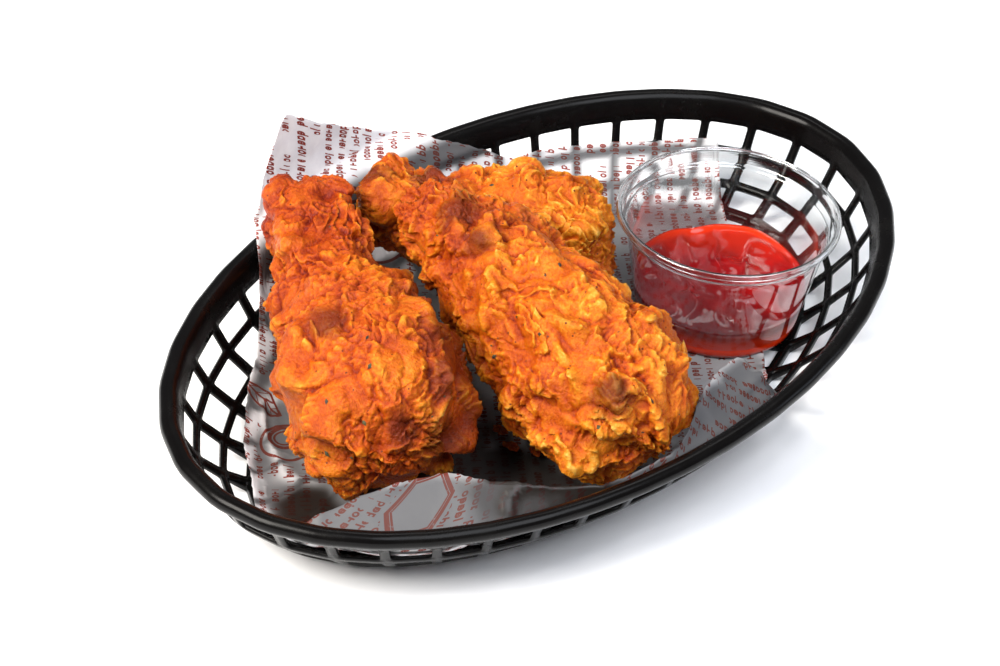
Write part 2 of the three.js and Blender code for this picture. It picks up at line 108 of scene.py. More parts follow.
# Each drumstick: line of its middle from the thick end, girth as (share of the line, radius), seed, bumps,
# how much lighter its crust is painted for the light that falls on it, and the spots where it is browned and
# where shade is painted on it, as (x, y, z, reach)
DRUMSTICKS = {
    "left": {
        "line": ((-65.6, -1.4, 28.6), (-55.8, 14.8, 30), (-43.6, 37, 34), (-34.2, 54.5, 36.8)),
        "girth": ((0, 23.4), (0.2, 23.2), (0.42, 19.6), (0.6, 15), (0.75, 12.6), (0.9, 12.8), (1, 11.8)),
        "seed": 11,
        "bumps": 84,
        # Painted shade: this piece lies more in shade, so its whole crust is painted darker
        "painted_light_tone": -0.11,
        # Browned spots; those along the right flank, towards the middle piece, are painted shade
        "browned_and_shade": (
            (-75.6, -20.0, 35, 5), (-69.5, 11, 50, 7), (-44, -10, 31, 15), (-43, 8, 32, 15),
            (-37, 24, 32, 14), (-27, 40, 32, 12), (-59, -20, 41, 8), (-51, -9, 42, 9), (-63, -25, 29, 9),
            (-46, 4, 44, 7), (-48, -22, 22, 12),
        ),
    },
    "middle": {
        "line": ((-22, -38, 28.8), (-18.2, -6.8, 36), (-15.5, 13.2, 40.5), (-16.6, 25.6, 42.5)),
        "girth": ((0, 22.6), (0.25, 22.4), (0.45, 20.6), (0.75, 16.2), (0.92, 12.4), (1, 10.2)),
        "seed": 23,
        "bumps": 84,
        "painted_light_tone": 0.0,
        "browned_and_shade": ((-19.5, 15.0, 55, 8), (-24, 4, 53, 5), (-36.5, -50.8, 42.6, 6)),
    },
    "back": {
        "line": ((16.9, 16.4, 24.7), (9.6, 28.4, 26.5), (1, 41, 29), (-5, 50.5, 31)),
        "girth": ((0, 20.4), (0.25, 19), (0.5, 15), (0.75, 12.4), (1, 11.8)),
        "seed": 37,
        "bumps": 60,
        # Painted light: this piece gets more light, so its crust is painted paler
        "painted_light_tone": 0.05,
        "browned_and_shade": ((-11.6, 53.5, 39.8, 7), (-1.5, 42.6, 41.2, 6)),
    },
}
# Depth of the plain form under the bumps' feet
CRUST_SINK = 1.7
# Colour of the batter from the bottom of a crease to the tip of a crest, its darker end partly painted shade
# in the creases and its paler end partly painted light on the crests
CRUST_TONES = (
    (0.0, "#691702"), (0.2, "#8e3103"), (0.42, "#a64806"), (0.62, "#b6600d"), (0.82, "#c57b1c"),
    (1.0, "#d09740"),
)
# Height of the lined floor, distance of the crust from the walls, and where the near wall's sheet ends
REST_HEIGHT = 3.7
WALL_CLEARANCE = 2.3
NEAR_WALL_TOP = (8.2, 25.0)


# Numbers and noise
# Entries in each noise's table, a power of two
HASH_SIZE = 4096


def linear(code):
    """Linear RGBA of an sRGB hex colour."""
    channels = [int(code[i : i + 2], 16) / 255 for i in (1, 3, 5)]
    return [c / 12.92 if c <= 0.04045 else ((c + 0.055) / 1.055) ** 2.4 for c in channels] + [1.0]


def per_size(size):
    """Texture scale, in repeats per metre, of a pattern whose features are `size` mm across."""
    return 1 / (size * MM)


def random_from(seed):
    """The seeded draws that the part's solids use for their bumps."""
    state = seed

    def draw():
        nonlocal state
        state = (state + 0x6D2B79F5) & 0xFFFFFFFF
        mixed = ((state ^ (state >> 15)) * (1 | state)) & 0xFFFFFFFF
        mixed = ((mixed + (((mixed ^ (mixed >> 7)) * (61 | mixed)) & 0xFFFFFFFF)) ^ mixed) & 0xFFFFFFFF
        return ((mixed ^ (mixed >> 14)) & 0xFFFFFFFF) / 4294967296

    return draw


def lattice_hash(cell, seed):
    """A repeatable whole number for each cell of a 3-D grid."""
    mixed = cell[:, 0] * 73856093 ^ cell[:, 1] * 19349663 ^ cell[:, 2] * 83492791 ^ (seed * 2654435761)
    mixed = (mixed ^ (mixed >> 13)) * 1274126177
    return (mixed ^ (mixed >> 16)) & (HASH_SIZE - 1)


def gradient_noise(points, seed):
    """Smooth noise of about -1 to 1 whose features are one unit across."""
    rng = np.random.default_rng(seed)
    slopes = rng.normal(size=(HASH_SIZE, 3))
    slopes /= np.linalg.norm(slopes, axis=1)[:, None]
    cell = np.floor(points).astype(np.int64)
    part = points - cell
    fade = part**3 * (part * (part * 6 - 15) + 10)
    total = np.zeros(len(points))
    for corner in itertools.product((0, 1), repeat=3):
        slope = slopes[lattice_hash(cell + np.array(corner), seed)]
        share = np.prod(np.where(corner, fade, 1 - fade), axis=1)
        total += share * ((part - np.array(corner)) * slope).sum(1)
    return total * 1.5


def warp_of(points, size, seed):
    """Three smooth noises at once: a direction for each point."""
    return np.stack([gradient_noise(points / size, seed + k) for k in range(3)], 1)


def flakes(points, size, seed, tilt, edge):
    """Height of overlapping tilted plates about `size` across, each ending in a step over the next."""
    rng = np.random.default_rng(seed)
    jitter = rng.random((HASH_SIZE, 3))
    tilts = rng.normal(size=(HASH_SIZE, 3)) * tilt
    level = rng.random(HASH_SIZE) * 0.7
    scaled = points / size
    cell = np.floor(scaled).astype(np.int64)
    best = np.full(len(points), -9.0)
    for offset in itertools.product((-1, 0, 1), repeat=3):
        near = cell + np.array(offset)
        index = lattice_hash(near, seed)
        away = scaled - near - jitter[index]
        reach = np.linalg.norm(away, axis=1)
        height = level[index] + (away * tilts[index]).sum(1) * 0.6 - (reach / 0.78) ** edge
        best = np.maximum(best, height)
    return best


def ridges(points, seed, sharp):
    """Thin crests, 1 on the crest and towards 0 in between."""
    return (1 - np.minimum(np.abs(gradient_noise(points, seed)) * 2.2, 1)) ** sharp


def smooth_step(values, low, high):
    """0 below `low`, 1 above `high` and a soft ramp between them."""
    share = np.clip((values - low) / (high - low), 0, 1)
    return share * share * (3 - 2 * share)


# Forms
def oval_point(angle, inset, height, length, width):
    """Points on the oval `inset` inside the rim's outer oval."""
    return np.stack(
        [
            (length / 2 - inset) * np.cos(angle),
            (width / 2 - inset) * np.sin(angle),
            np.broadcast_to(height, np.shape(angle)) * 1.0,
        ],
        -1,
    )


def rib_angles(count, length, width):
    """Angles of the ribs' middles, near enough equal steps round the window's top oval."""
    a = length / 2 - WINDOW_TOP[0][0]
    b = width / 2 - WINDOW_TOP[0][0]
    step = 2 * math.pi / OVAL_STEPS
    turns = (np.arange(OVAL_STEPS) + 0.5) * step
    pieces = np.hypot(a * np.sin(turns), b * np.cos(turns)) * step
    runs = np.concatenate([[0], np.cumsum(pieces)])
    shift, first, first_phase, second, second_phase = RIB_DRIFT
    phase = 2 * math.pi * np.arange(count) / count
    drift = shift + first * np.sin(phase - first_phase) + second * np.sin(2 * phase - second_phase)
    at = (runs[-1] * np.arange(count) / count + drift) % runs[-1]
    return np.interp(at, runs, np.linspace(0, 2 * math.pi, OVAL_STEPS + 1))


def mesh_object(name, points, faces, material, smooth=True):
    """A mesh from points in millimetres."""
    mesh = bpy.data.meshes.new(name)
    mesh.from_pydata((np.asarray(points, float) * MM).tolist(), [], faces)
    mesh.update()
    if smooth:
        mesh.shade_smooth()
    mesh.materials.append(material)
    made = bpy.data.objects.new(name, mesh)
    bpy.context.scene.collection.objects.link(made)
    return made


def point_values(made, name, values):
    """Stores one number per vertex for the material to read."""
    attribute = made.data.attributes.new(name, "FLOAT", "POINT")
    attribute.data.foreach_set("value", np.asarray(values, np.float32))


def grid_faces(rows, columns):
    """Quads between rings of points stored one after another."""
    faces = []
    for here in range(0, (rows - 1) * columns, columns):
        for c in range(columns):
            n = (c + 1) % columns
            faces.append((here + c, here + n, here + columns + n, here + columns + c))
    return faces


def closed_rings(points, rows, columns):
    """Closes a run of rings with a middle point at each end: all the points, and the faces."""
    faces = grid_faces(rows, columns)
    top = len(points)
    foot = top - columns
    for c in range(columns):
        n = (c + 1) % columns
        faces.append((top, n, c))
        faces.append((top + 1, foot + c, foot + n))
    return np.vstack([points, points[:columns].mean(0), points[-columns:].mean(0)]), faces


def circle(count):
    """Angles of `count` even steps round."""
    return 2 * math.pi * np.arange(count) / count


def ring(radius, height, angle):
    """Points round an upright axis, with one radius and height or one for each angle."""
    return np.stack([radius * np.cos(angle), radius * np.sin(angle), height + 0 * angle], 1)


def rounded(profile):
    """Cuts the corners of an open profile twice, keeping its two ends."""
    points = [np.array(p, float) for p in profile]
    for _ in range(2):
        cut = [points[0]]
        for p, q in zip(points, points[1:]):
            cut += [p * 0.75 + q * 0.25, p * 0.25 + q * 0.75]
        points = cut + [points[-1]]
    return points


def shell(line, thickness):
    """Outline of a thin skin along a line: out along one side and back along the other."""
    line = np.array(line)
    ahead = np.gradient(line, axis=0)
    ahead /= np.linalg.norm(ahead, axis=1)[:, None]
    off = np.stack([ahead[:, 1], -ahead[:, 0]], 1) * thickness / 2
    return [tuple(p) for p in np.vstack([line + off, (line - off)[::-1]])]


class Curve:
    """A smooth line through given points, read by its share of the whole length."""

    def __init__(self, line):
        given = np.array(line, float)
        knots = np.vstack([2 * given[0] - given[1], given, 2 * given[-1] - given[-2]])
        samples = []
        for i in range(len(given) - 1):
            p0, p1, p2, p3 = knots[i : i + 4]
            d0, d1, d2 = (np.linalg.norm(b - a) ** 0.5 for a, b in ((p0, p1), (p1, p2), (p2, p3)))
            t1 = ((p1 - p0) / d0 - (p2 - p0) / (d0 + d1) + (p2 - p1) / d1) * d1
            t2 = ((p2 - p1) / d1 - (p3 - p1) / (d1 + d2) + (p3 - p2) / d2) * d1
            t = np.linspace(0, 1, 100)[:, None]
            samples.append(
                p1 + t1 * t + (-3 * p1 + 3 * p2 - 2 * t1 - t2) * t**2 + (2 * p1 - 2 * p2 + t1 + t2) * t**3
            )
        self.points = np.vstack(samples)
        steps = np.linalg.norm(np.diff(self.points, axis=0), axis=1)
        self.runs = np.concatenate([[0], np.cumsum(steps)])
        self.length = self.runs[-1]

    def at(self, share):
        """Points at shares of the line."""
        run = np.asarray(share) * self.length
        return np.stack([np.interp(run, self.runs, self.points[:, k]) for k in range(3)], -1)

    def ahead(self, share):
        """Which way the line runs at shares of it."""
        share = np.asarray(share)
        step = self.at(np.minimum(share + 0.004, 1)) - self.at(np.maximum(share - 0.004, 0))
        return step / np.linalg.norm(step, axis=-1)[..., None]


def crust_bumps(seed, count):
    """The same seeded bumps as the part's solids: place along and around, length, width, slant, height."""
    draw = random_from(seed)
    bumps = []
    for _ in range(count):
        along = draw() * 1.5 - 0.35
        around = draw() * 2 * math.pi
        long = 4 + 5 * draw()
        wide = 2.4 + 1.8 * draw()
        slant = (draw() - 0.5) * 2.4
        bumps.append((along, around, long, wide, slant, 1.8 + 2.6 * draw()))
    return bumps


def bump_height(bumps, along, around, radius, length):
    """Height of the seeded bumps at each point, less the depth to which the plain form is sunk."""
    height = np.zeros(along.shape)
    for place, turn, long, wide, slant, rise in bumps:
        dx = (along - place) * length
        dy = np.arctan2(np.sin(around - turn), np.cos(around - turn)) * radius
        u = (dx * math.cos(slant) + dy * math.sin(slant)) / long
        v = (dy * math.cos(slant) - dx * math.sin(slant)) / wide
        height += rise * np.exp(-(u * u + v * v) * 1.6)
    return height - CRUST_SINK


def settle(points, settings):
    """Keeps crust off the paper on the floor and inside the lined walls."""
    x, y = points[:, 0], points[:, 1]
    z = np.maximum(points[:, 2], REST_HEIGHT)
    far = np.array(PAPER_PATH[:5])
    near = np.array(PAPER_PATH[:4] + (NEAR_WALL_TOP,))
    inset = np.where(y < 0, np.interp(z, near[:, 1], near[:, 0]), np.interp(z, far[:, 1], far[:, 0]))
    inset += WALL_CLEARANCE
    top = np.where(y < 0, near[-1, 1], far[-1, 1])
    reach = np.hypot(x / (settings.length / 2 - inset), y / (settings.width / 2 - inset))
    squeeze = np.where((reach > 1) & (z < top), 1 / np.maximum(reach, 1e-6), 1)
    return np.stack([x * squeeze, y * squeeze, z], 1)


def grid_normals(points, rows, columns):
    """Outward normals of a closed tube of points stored ring by ring."""
    grid = points.reshape(rows, columns, 3)
    along = np.gradient(grid, axis=0)
    around = np.roll(grid, -1, 1) - np.roll(grid, 1, 1)
    normal = np.cross(around, along)
    normal /= np.maximum(np.linalg.norm(normal, axis=2), 1e-9)[..., None]
    return normal.reshape(-1, 3)


def blurred(values, rows, columns, times):
    """Repeated averaging with the neighbours in a ring grid."""
    grid = values.reshape(rows, columns)
    for _ in range(times):
        padded = np.vstack([grid[:1], grid, grid[-1:]])
        grid = (padded[:-2] + padded[2:] + np.roll(grid, 1, 1) + np.roll(grid, -1, 1) + 2 * grid) / 6
    return grid.reshape(-1)


# Materials
def add_node(tree, kind, inputs=(), give=0, stops=None, **settings):
    """Adds one node with its settings and gives one of its outputs. The kind may be followed by the node's
    operation. Inputs are values or other nodes' outputs, by place or by name; stops are the (position,
    colour) pairs of a ramp."""
    kind, _, operation = kind.partition(" ")
    node = tree.nodes.new("ShaderNode" + kind)
    if operation:
        node.operation = operation
    for name, value in settings.items():
        setattr(node, name, value)
    if stops:
        ramp = node.color_ramp.elements
        while len(ramp) < len(stops):
            ramp.new(0.5)
        for element, (position, colour) in zip(ramp, stops):
            element.position = position
            element.color = colour
    for name, value in inputs.items() if isinstance(inputs, dict) else enumerate(inputs):
        if isinstance(value, bpy.types.NodeSocket):
            tree.links.new(value, node.inputs[name])
        else:
            node.inputs[name].default_value = value
    return node.outputs[give] if node.outputs else node


def new_material(name):
    """An empty material, add_node for its own tree, and the object's coordinates there."""
    material = bpy.data.materials.new(name)
    material.use_nodes = True
    material.node_tree.nodes.clear()
    node = partial(add_node, material.node_tree)
    return material, node, node("TexCoord", give="Object")


def clouded(node, place, noise, span, first, second):
    """A colour that turns from the first to the second in soft clouds, and the noise behind it. The noise
    is given as size in mm, detail and roughness, and the span is where in it the colour turns."""
    size, detail, rough = noise
    cloud = node("TexNoise", {"Vector": place, "Scale": per_size(size), "Detail": detail, "Roughness": rough})
    share = node("MapRange", [cloud, *span], interpolation_type="SMOOTHSTEP")
    pair = {0: share, 6: linear(first), 7: linear(second)}
    return node("Mix", pair, give=2, data_type="RGBA"), cloud


def moulded_polypropylene(settings):
    """Near-black moulded plastic: satin, with a faint orange-peel, and scuffs that dull it in patches."""
    material, node, place = new_material("moulded polypropylene")
    peel = node("TexNoise", {"Vector": place, "Scale": per_size(1.6), "Detail": 2.0, "Roughness": 0.55})
    moved = node("VectorMath", [place, (0.3, 0.21, 0.39)])
    tone, scuff = clouded(node, moved, (14, 5.0, 0.65), (0.45, 0.75), settings.colour, "#0a0908")
    rough = node(
        "MapRange", {"Value": scuff, "From Min": 0.35, "From Max": 0.7, "To Min": 0.2, "To Max": 0.32}
    )
    bump = node("Bump", {"Strength": 0.12, "Distance": 0.1 * MM, "Height": peel})
    shader = node(
        "BsdfPrincipled",
        {"Base Color": tone, "Roughness": rough, "IOR": 1.49, "Normal": bump, "Specular IOR Level": 0.12},
    )
    node("OutputMaterial", [shader])
    return material


# How the batter's tone drifts: size in mm, detail, roughness, shift of the noise and share; the last is grain
BATTER_DRIFTS = ((15, 3.0, 0.5, 0.0, 0.9), (3.6, 4.0, 0.6, 0.21, 0.65), (0.8, 3.0, 0.6, 0.53, 0.6))


def battered_crust():
    """Golden fried batter: deep russet in the creases, orange on the slopes, golden yellow towards the crests
    and pale on their tips, partly painted shade and light; a few browner patches, some painted shade; a
    greasy sheen; pits painted as dark specks of shade."""
    material, node, place = new_material("battered crust")
    tone = node("Attribute", give="Fac", attribute_name="tone")
    for size, detail, roughness, shift, share in BATTER_DRIFTS:
        moved = node("VectorMath", [place, (shift, shift * 0.7, shift * 1.3)])
        scale = per_size(size)
        drift = node("TexNoise", {"Vector": moved, "Scale": scale, "Detail": detail, "Roughness": roughness})
        off = node("Math SUBTRACT", [drift, 0.5])
        tone = node("Math MULTIPLY_ADD", [off, share, tone])
    colour = node("ValToRGB", [tone], stops=[(position, linear(code)) for position, code in CRUST_TONES])
    moved = node("VectorMath", [place, (0.87, 0.609, 1.131)])
    patch = node("TexNoise", {"Vector": moved, "Scale": per_size(19), "Detail": 2.0, "Roughness": 0.5})
    tan = node("MapRange", [patch, 0.62, 0.76], interpolation_type="SMOOTHSTEP")
    tan = node("Math MULTIPLY", [tan, 0.6])
    # Browned patches, and patches of painted shade on a flank
    browned_and_shade = node("Attribute", give="Fac", attribute_name="browned_and_shade")
    browned_and_shade = node("Math MULTIPLY", [browned_and_shade, 0.85])
    # Painted shade: dark specks for the shadow inside small pits
    cells = node("TexVoronoi", {"Vector": place, "Scale": per_size(3.4), "Randomness": 1.0}, give="Distance")
    pit_shade = node("Math LESS_THAN", [cells, 0.085])
    for share, code in ((tan, "#8a3f18"), (browned_and_shade, "#571804"), (pit_shade, "#5a2108")):
        colour = node("Mix", {0: share, 6: colour, 7: linear(code)}, give=2, data_type="RGBA")
    moved = node("VectorMath", [place, (0.41, 0.287, 0.533)])
    grease = node("TexNoise", {"Vector": moved, "Scale": per_size(7), "Detail": 3.0, "Roughness": 0.6})
    rough = node(
        "MapRange", {"Value": grease, "From Min": 0.3, "From Max": 0.7, "To Min": 0.3, "To Max": 0.55}
    )
    dust = node("TexNoise", {"Vector": place, "Scale": per_size(0.45), "Detail": 3.0, "Roughness": 0.6})
    height = node("Math MULTIPLY_ADD", [dust, 0.8, drift])
    bump = node("Bump", {"Strength": 0.9, "Distance": 0.42 * MM, "Height": height})
    shader = node(
        "BsdfPrincipled",
        {
            "Base Color": colour,
            "Roughness": rough,
            "IOR": 1.46,
            "Specular IOR Level": 0.2,
            "Normal": bump,
            "Subsurface Weight": 0.2,
            "Subsurface Radius": (1.0, 0.5, 0.12),
            "Subsurface Scale": 1.2 * MM,
        },
    )
    node("OutputMaterial", [shader])
    return material


# Distance between the printed marks of a row, and the usual length of a group of them, in mm
MARK_PITCH = 1.5
WORD_LENGTH = 9.0
# Line shapes printed on the sheet: kind, place along and across in mm, turn in degrees, size in mm
SHEET_SHAPES = (
    ("rings", -32.0, 68.5, 20.0, 8.5),
    ("leaf", -18.0, 75.5, 61.0, 8.0),
    ("hexagon", -104.0, 53.0, 15.0, 8.5),
    ("rings", 50.0, 44.0, 0.0, 12.0),
    ("leaf", 62.0, 20.0, 30.0, 12.0),
)


def greaseproof_paper(settings):
    """Thin off-white greaseproof paper, printed in red-brown with rows of made-up marks and a few line
    shapes. Painted shade makes it grey where ribs and hoops lie behind it and over the floor, and dark where
    fat has soaked it, which also makes it glossy."""
    material, node, place = new_material("greaseproof paper")
    flat = node("UVMap", uv_map="flat_sheet")
    along, across = (node("SeparateXYZ", [flat], give=k) for k in (0, 1))
    lines = node("Math DIVIDE", [across, settings.row_pitch])
    row = node("Math FLOOR", [lines])
    level = node("Math FRACT", [lines])
    start = node("TexWhiteNoise", {"W": row}, noise_dimensions="1D")
    run = node("Math MULTIPLY_ADD", [start, 40.0, along])
    word_row = node("Math MULTIPLY_ADD", [row, 3.7, 0.3])
    word_run = node("Math DIVIDE", [run, WORD_LENGTH])
    word_place = node("CombineXYZ", [word_run, word_row])
    words = node(
        "TexVoronoi",
        {"Vector": word_place, "Scale": 1.0},
        give="Distance",
        feature="DISTANCE_TO_EDGE",
        voronoi_dimensions="2D",
    )
    height = node("Math MULTIPLY_ADD", [level, 2.2, -0.53])
    in_word = node("Math GREATER_THAN", [words, 0.07])
    inked = node("Math MULTIPLY", [printed_marks(node, run, row, height), in_word])
    # Line shapes, each in a field of its own without rows
    shapes = 0.0
    for spot in SHEET_SHAPES:
        clear, drawn = sheet_shape(node, along, across, *spot)
        inked = node("Math MULTIPLY", [inked, clear])
        shapes = node("Math MAXIMUM", [drawn, shapes])
    inked = node("Math MAXIMUM", [inked, shapes], use_clamp=True)
    white, fibre = clouded(node, place, (6, 5.0, 0.65), (0.3, 0.7), "#e6e5e8", "#f0eff0")
    # Painted shade where the ribs, hoops and floor lie behind the sheet
    backing_shade = node("Attribute", give="Fac", attribute_name="backing_shade")
    painted_backing_shade = node("Math MULTIPLY", [backing_shade, settings.backing_shade_strength])
    # Fat makes the sheet glossy; the near black there is painted shade
    grease_and_shade = node("Attribute", give="Fac", attribute_name="grease_and_shade")
    soak_and_shade = node("Math MULTIPLY_ADD", [backing_shade, 0.22, 0.75])
    soaked_and_shaded = node("Math MULTIPLY", [grease_and_shade, soak_and_shade])
    ink = linear(settings.ink)
    # Painted shade, grey over the backing and near black where fat has soaked the sheet, on white and on ink
    for share, on_white, on_ink in ((painted_backing_shade, "#48484b", "#5a2a20"), (soaked_and_shaded, "#241d18", "#2b120d")):
        white = node("Mix", {0: share, 6: white, 7: linear(on_white)}, give=2, data_type="RGBA")
        ink = node("Mix", {0: share, 6: ink, 7: linear(on_ink)}, give=2, data_type="RGBA")
    moved = node("VectorMath", [place, (0.7, 0.49, 0.91)])
    rubbed = node("TexNoise", {"Vector": moved, "Scale": per_size(0.8), "Detail": 2.0, "Roughness": 0.5})
    wear = node("MapRange", [rubbed, 0.15, 0.4], interpolation_type="SMOOTHSTEP")
    worn = node("Math MULTIPLY", [inked, wear])
    ink_share = node("Math MULTIPLY", [worn, 0.97])
    colour = node("Mix", {0: ink_share, 6: white, 7: ink}, give=2, data_type="RGBA")
    bump = node("Bump", {"Strength": 0.25, "Distance": 0.2 * MM, "Height": fibre})
    rough = node("Math MULTIPLY_ADD", [soaked_and_shaded, -0.22, 0.58])
    solid = node("BsdfPrincipled", {"Base Color": colour, "Roughness": rough, "IOR": 1.5, "Normal": bump})
    through = node("BsdfTranslucent", {"Color": colour, "Normal": bump})
    both = node("MixShader", [0.4, solid, through])
    node("OutputMaterial", [both])
    return material


def printed_marks(node, run, row, height):
    """Made-up marks of bowls, stems and bars along a row. Height is 0 at a mark's foot and 1 at its top;
    some stems go on above or below."""
    place = node("Math DIVIDE", [run, MARK_PITCH])
    number = node("Math FLOOR", [place])
    key = node("CombineXYZ", [number, row])
    draws = node("TexWhiteNoise", {"Vector": key}, give="Color", noise_dimensions="2D")
    bowl_chance, stem_chance, bar_chance = (node("SeparateXYZ", [draws], give=k) for k in (0, 1, 2))
    across = node("Math FRACT", [place])
    off = node("Math SUBTRACT", [across, 0.44])
    rise = node("Math MULTIPLY_ADD", [height, 0.8, -0.4])
    from_bowl = node("CombineXYZ", [off, rise])
    reach = node("VectorMath LENGTH", [from_bowl], give="Value")
    bowl = node("Math COMPARE", [reach, 0.3, 0.13])
    has_bowl = node("Math GREATER_THAN", [bowl_chance, 0.3])
    bowl = node("Math MULTIPLY", [bowl, has_bowl])
    tall = node("Math GREATER_THAN", [stem_chance, 0.72])
    top = node("Math MULTIPLY_ADD", [tall, 0.5, 1.0])
    deep = node("Math LESS_THAN", [stem_chance, 0.16])
    foot = node("Math MULTIPLY", [deep, -0.45])
    stem = node("Math COMPARE", [across, 0.16, 0.13])
    below_top = node("Math LESS_THAN", [height, top])
    above_foot = node("Math GREATER_THAN", [height, foot])
    has_stem = node("Math LESS_THAN", [bowl_chance, 0.75])
    for limit in (below_top, above_foot, has_stem):
        stem = node("Math MULTIPLY", [stem, limit])
    bar = node("Math COMPARE", [height, 0.5, 0.15])
    bar_reach = node("Math LESS_THAN", [across, 0.72])
    has_bar = node("Math GREATER_THAN", [bar_chance, 0.55])
    for limit in (bar_reach, has_bar):
        bar = node("Math MULTIPLY", [bar, limit])
    upright = node("Math MAXIMUM", [stem, bar])
    return node("Math MAXIMUM", [bowl, upright])


def sheet_shape(node, along, across, kind, x, y, turn, size):
    """Two masks: 1 outside the shape's clear field, and 1 on the shape's own lines."""
    dx = node("Math SUBTRACT", [along, x])
    dy = node("Math SUBTRACT", [across, y])
    flat = node("CombineXYZ", [dx, dy])
    own = node("VectorRotate", {"Vector": flat, "Angle": -math.radians(turn)}, rotation_type="Z_AXIS")
    reach = node("VectorMath LENGTH", [own], give="Value")
    clear = node("Math GREATER_THAN", [reach, size * 1.05])
    inside = 1.0
    if kind != "rings":
        u, v = (node("SeparateXYZ", [own], give=k) for k in (0, 1))
        v_size = node("Math ABSOLUTE", [v])
    if kind == "rings":
        moved = node("VectorMath", [own, (-size * 0.25, 0, 0)])
        inner = node("VectorMath LENGTH", [moved], give="Value")
        lines = ((reach, size * 0.82, 0.45), (inner, size * 0.45, 0.6), (inner, size * 0.3, 0.3))
    elif kind == "leaf":
        moved = (node("VectorMath", [own, (0, off * size, 0)]) for off in (0.7, -0.7))
        arcs = [node("VectorMath LENGTH", [place], give="Value") for place in moved]
        wide = node("Math MAXIMUM", arcs)
        inside = node("Math LESS_THAN", [wide, size * 1.05 + 0.4])
        slope = node("Math ADD", [u, v_size])
        veins = node("Math MODULO", [slope, 2.4])
        veins = node("Math ABSOLUTE", [veins])
        lines = ((wide, size * 1.05, 0.4), (v_size, 0.0, 0.35), (veins, 0.0, 0.4))
    else:
        half = node("Math MULTIPLY", [v_size, 0.5])
        u_size = node("Math ABSOLUTE", [u])
        diagonal = node("Math MULTIPLY_ADD", [u_size, 0.866, half])
        wide = node("Math MAXIMUM", [diagonal, v_size])
        lines = ((wide, size * 0.85, 0.55), (wide, size * 0.74, 0.25))
    drawn = 0.0
    for place, middle, half_width in lines:
        line = node("Math COMPARE", [place, middle, half_width])
        drawn = node("Math MAXIMUM", [line, drawn])
    return clear, node("Math MULTIPLY", [drawn, inside])


def clear_pet(settings):
    """Clear thermoformed PET: water-clear wall, bright rim, a little haze from handling."""
    material, node, place = new_material("PET")
    haze = node("TexNoise", {"Vector": place, "Scale": per_size(20), "Detail": 3.0, "Roughness": 0.5})
    rough = node(
        "MapRange", {"Value": haze, "From Min": 0.4, "From Max": 0.8, "To Min": 0.015, "To Max": 0.06}
    )
    wave = node("TexNoise", {"Vector": place, "Scale": per_size(9), "Detail": 1.0, "Roughness": 0.55})
    ripple = node("Bump", {"Strength": 0.03, "Distance": 0.2 * MM, "Height": wave})
    shader = node(
        "BsdfPrincipled",
        {
            "Base Color": linear(settings.colour),
            "Roughness": rough,
            "IOR": 1.57,
            "Transmission Weight": 1.0,
            "Normal": ripple,
        },
    )
    node("OutputMaterial", [shader])
    return material


def tomato_sauce(settings):
    """Thick glossy tomato sauce: deep red, more orange where it clings thinly on the far side, with painted
    light as a brighter orange low down by the wall.
    """
    material, node, place = new_material("tomato sauce")
    colour, _ = clouded(node, place, (9, 3.0, 0.5), (0.4, 0.72), settings.colour, "#8e0606")
    thin_and_painted_light = node("Attribute", give="Fac", attribute_name="thin_and_painted_light")
    colour = node("Mix", {0: thin_and_painted_light, 6: colour, 7: linear("#e6360c")}, give=2, data_type="RGBA")
    fine = node("TexNoise", {"Vector": place, "Scale": per_size(1.3), "Detail": 2.0, "Roughness": 0.55})
    bump = node("Bump", {"Strength": 0.1, "Distance": 0.2 * MM, "Height": fine})
    shader = node(
        "BsdfPrincipled",
        {
            "Base Color": colour,
            "Roughness": 0.09,
            "IOR": 1.4,
            "Specular IOR Level": 0.5,
            "Normal": bump,
            "Subsurface Weight": 0.08,
            "Subsurface Radius": (1.0, 0.1, 0.03),
            "Subsurface Scale": 2.0 * MM,
        },
    )
    node("OutputMaterial", [shader])
    return material


def ground_pepper():
    """Coarse ground black pepper and dried herb: black-brown with greener flakes."""
    material, node, place = new_material("ground pepper")
    colour, _ = clouded(node, place, (3, 1.0, 0.55), (0.45, 0.6), "#1c150e", "#3b3a1c")
    shader = node("BsdfPrincipled", {"Base Color": colour, "Roughness": 0.7})
    node("OutputMaterial", [shader])
    return material


def pale_board(settings):
    """Matt pale board under the basket."""
    material, node, place = new_material("pale board")
    colour, _ = clouded(node, place, (120, 3.0, 0.55), (0.3, 0.7), settings.floor_colour, "#f8f8f9")
    shader = node("BsdfPrincipled", {"Base Color": colour, "Roughness": 0.8})
    node("OutputMaterial", [shader])
    return material


# Settings
def size_property(label, value, note):
    """A setting that holds a plain number of millimetres."""
    return FloatProperty(name=label, description=note, default=value, unit="NONE", subtype="NONE")


def colour_property(label, code, note):
    """A setting that holds an sRGB hex colour."""
    return StringProperty(name=label, description=note, default=code)


class BasketSettings(bpy.types.PropertyGroup):
    length: size_property("Length", 238.0, "Length over the rim in millimetres")
    width: size_property("Width", 146.5, "Width over the rim in millimetres")
    rib_width: size_property("Rib width", 2.5, "Width of a rib in millimetres")
    corner: size_property("Corner", 1.1, "Radius of the windows' corners in millimetres")
    rib_count: IntProperty(name="Ribs", description="Ribs round the basket", default=40)
    colour: colour_property("Plastic", "#060505", "Colour of the moulding")


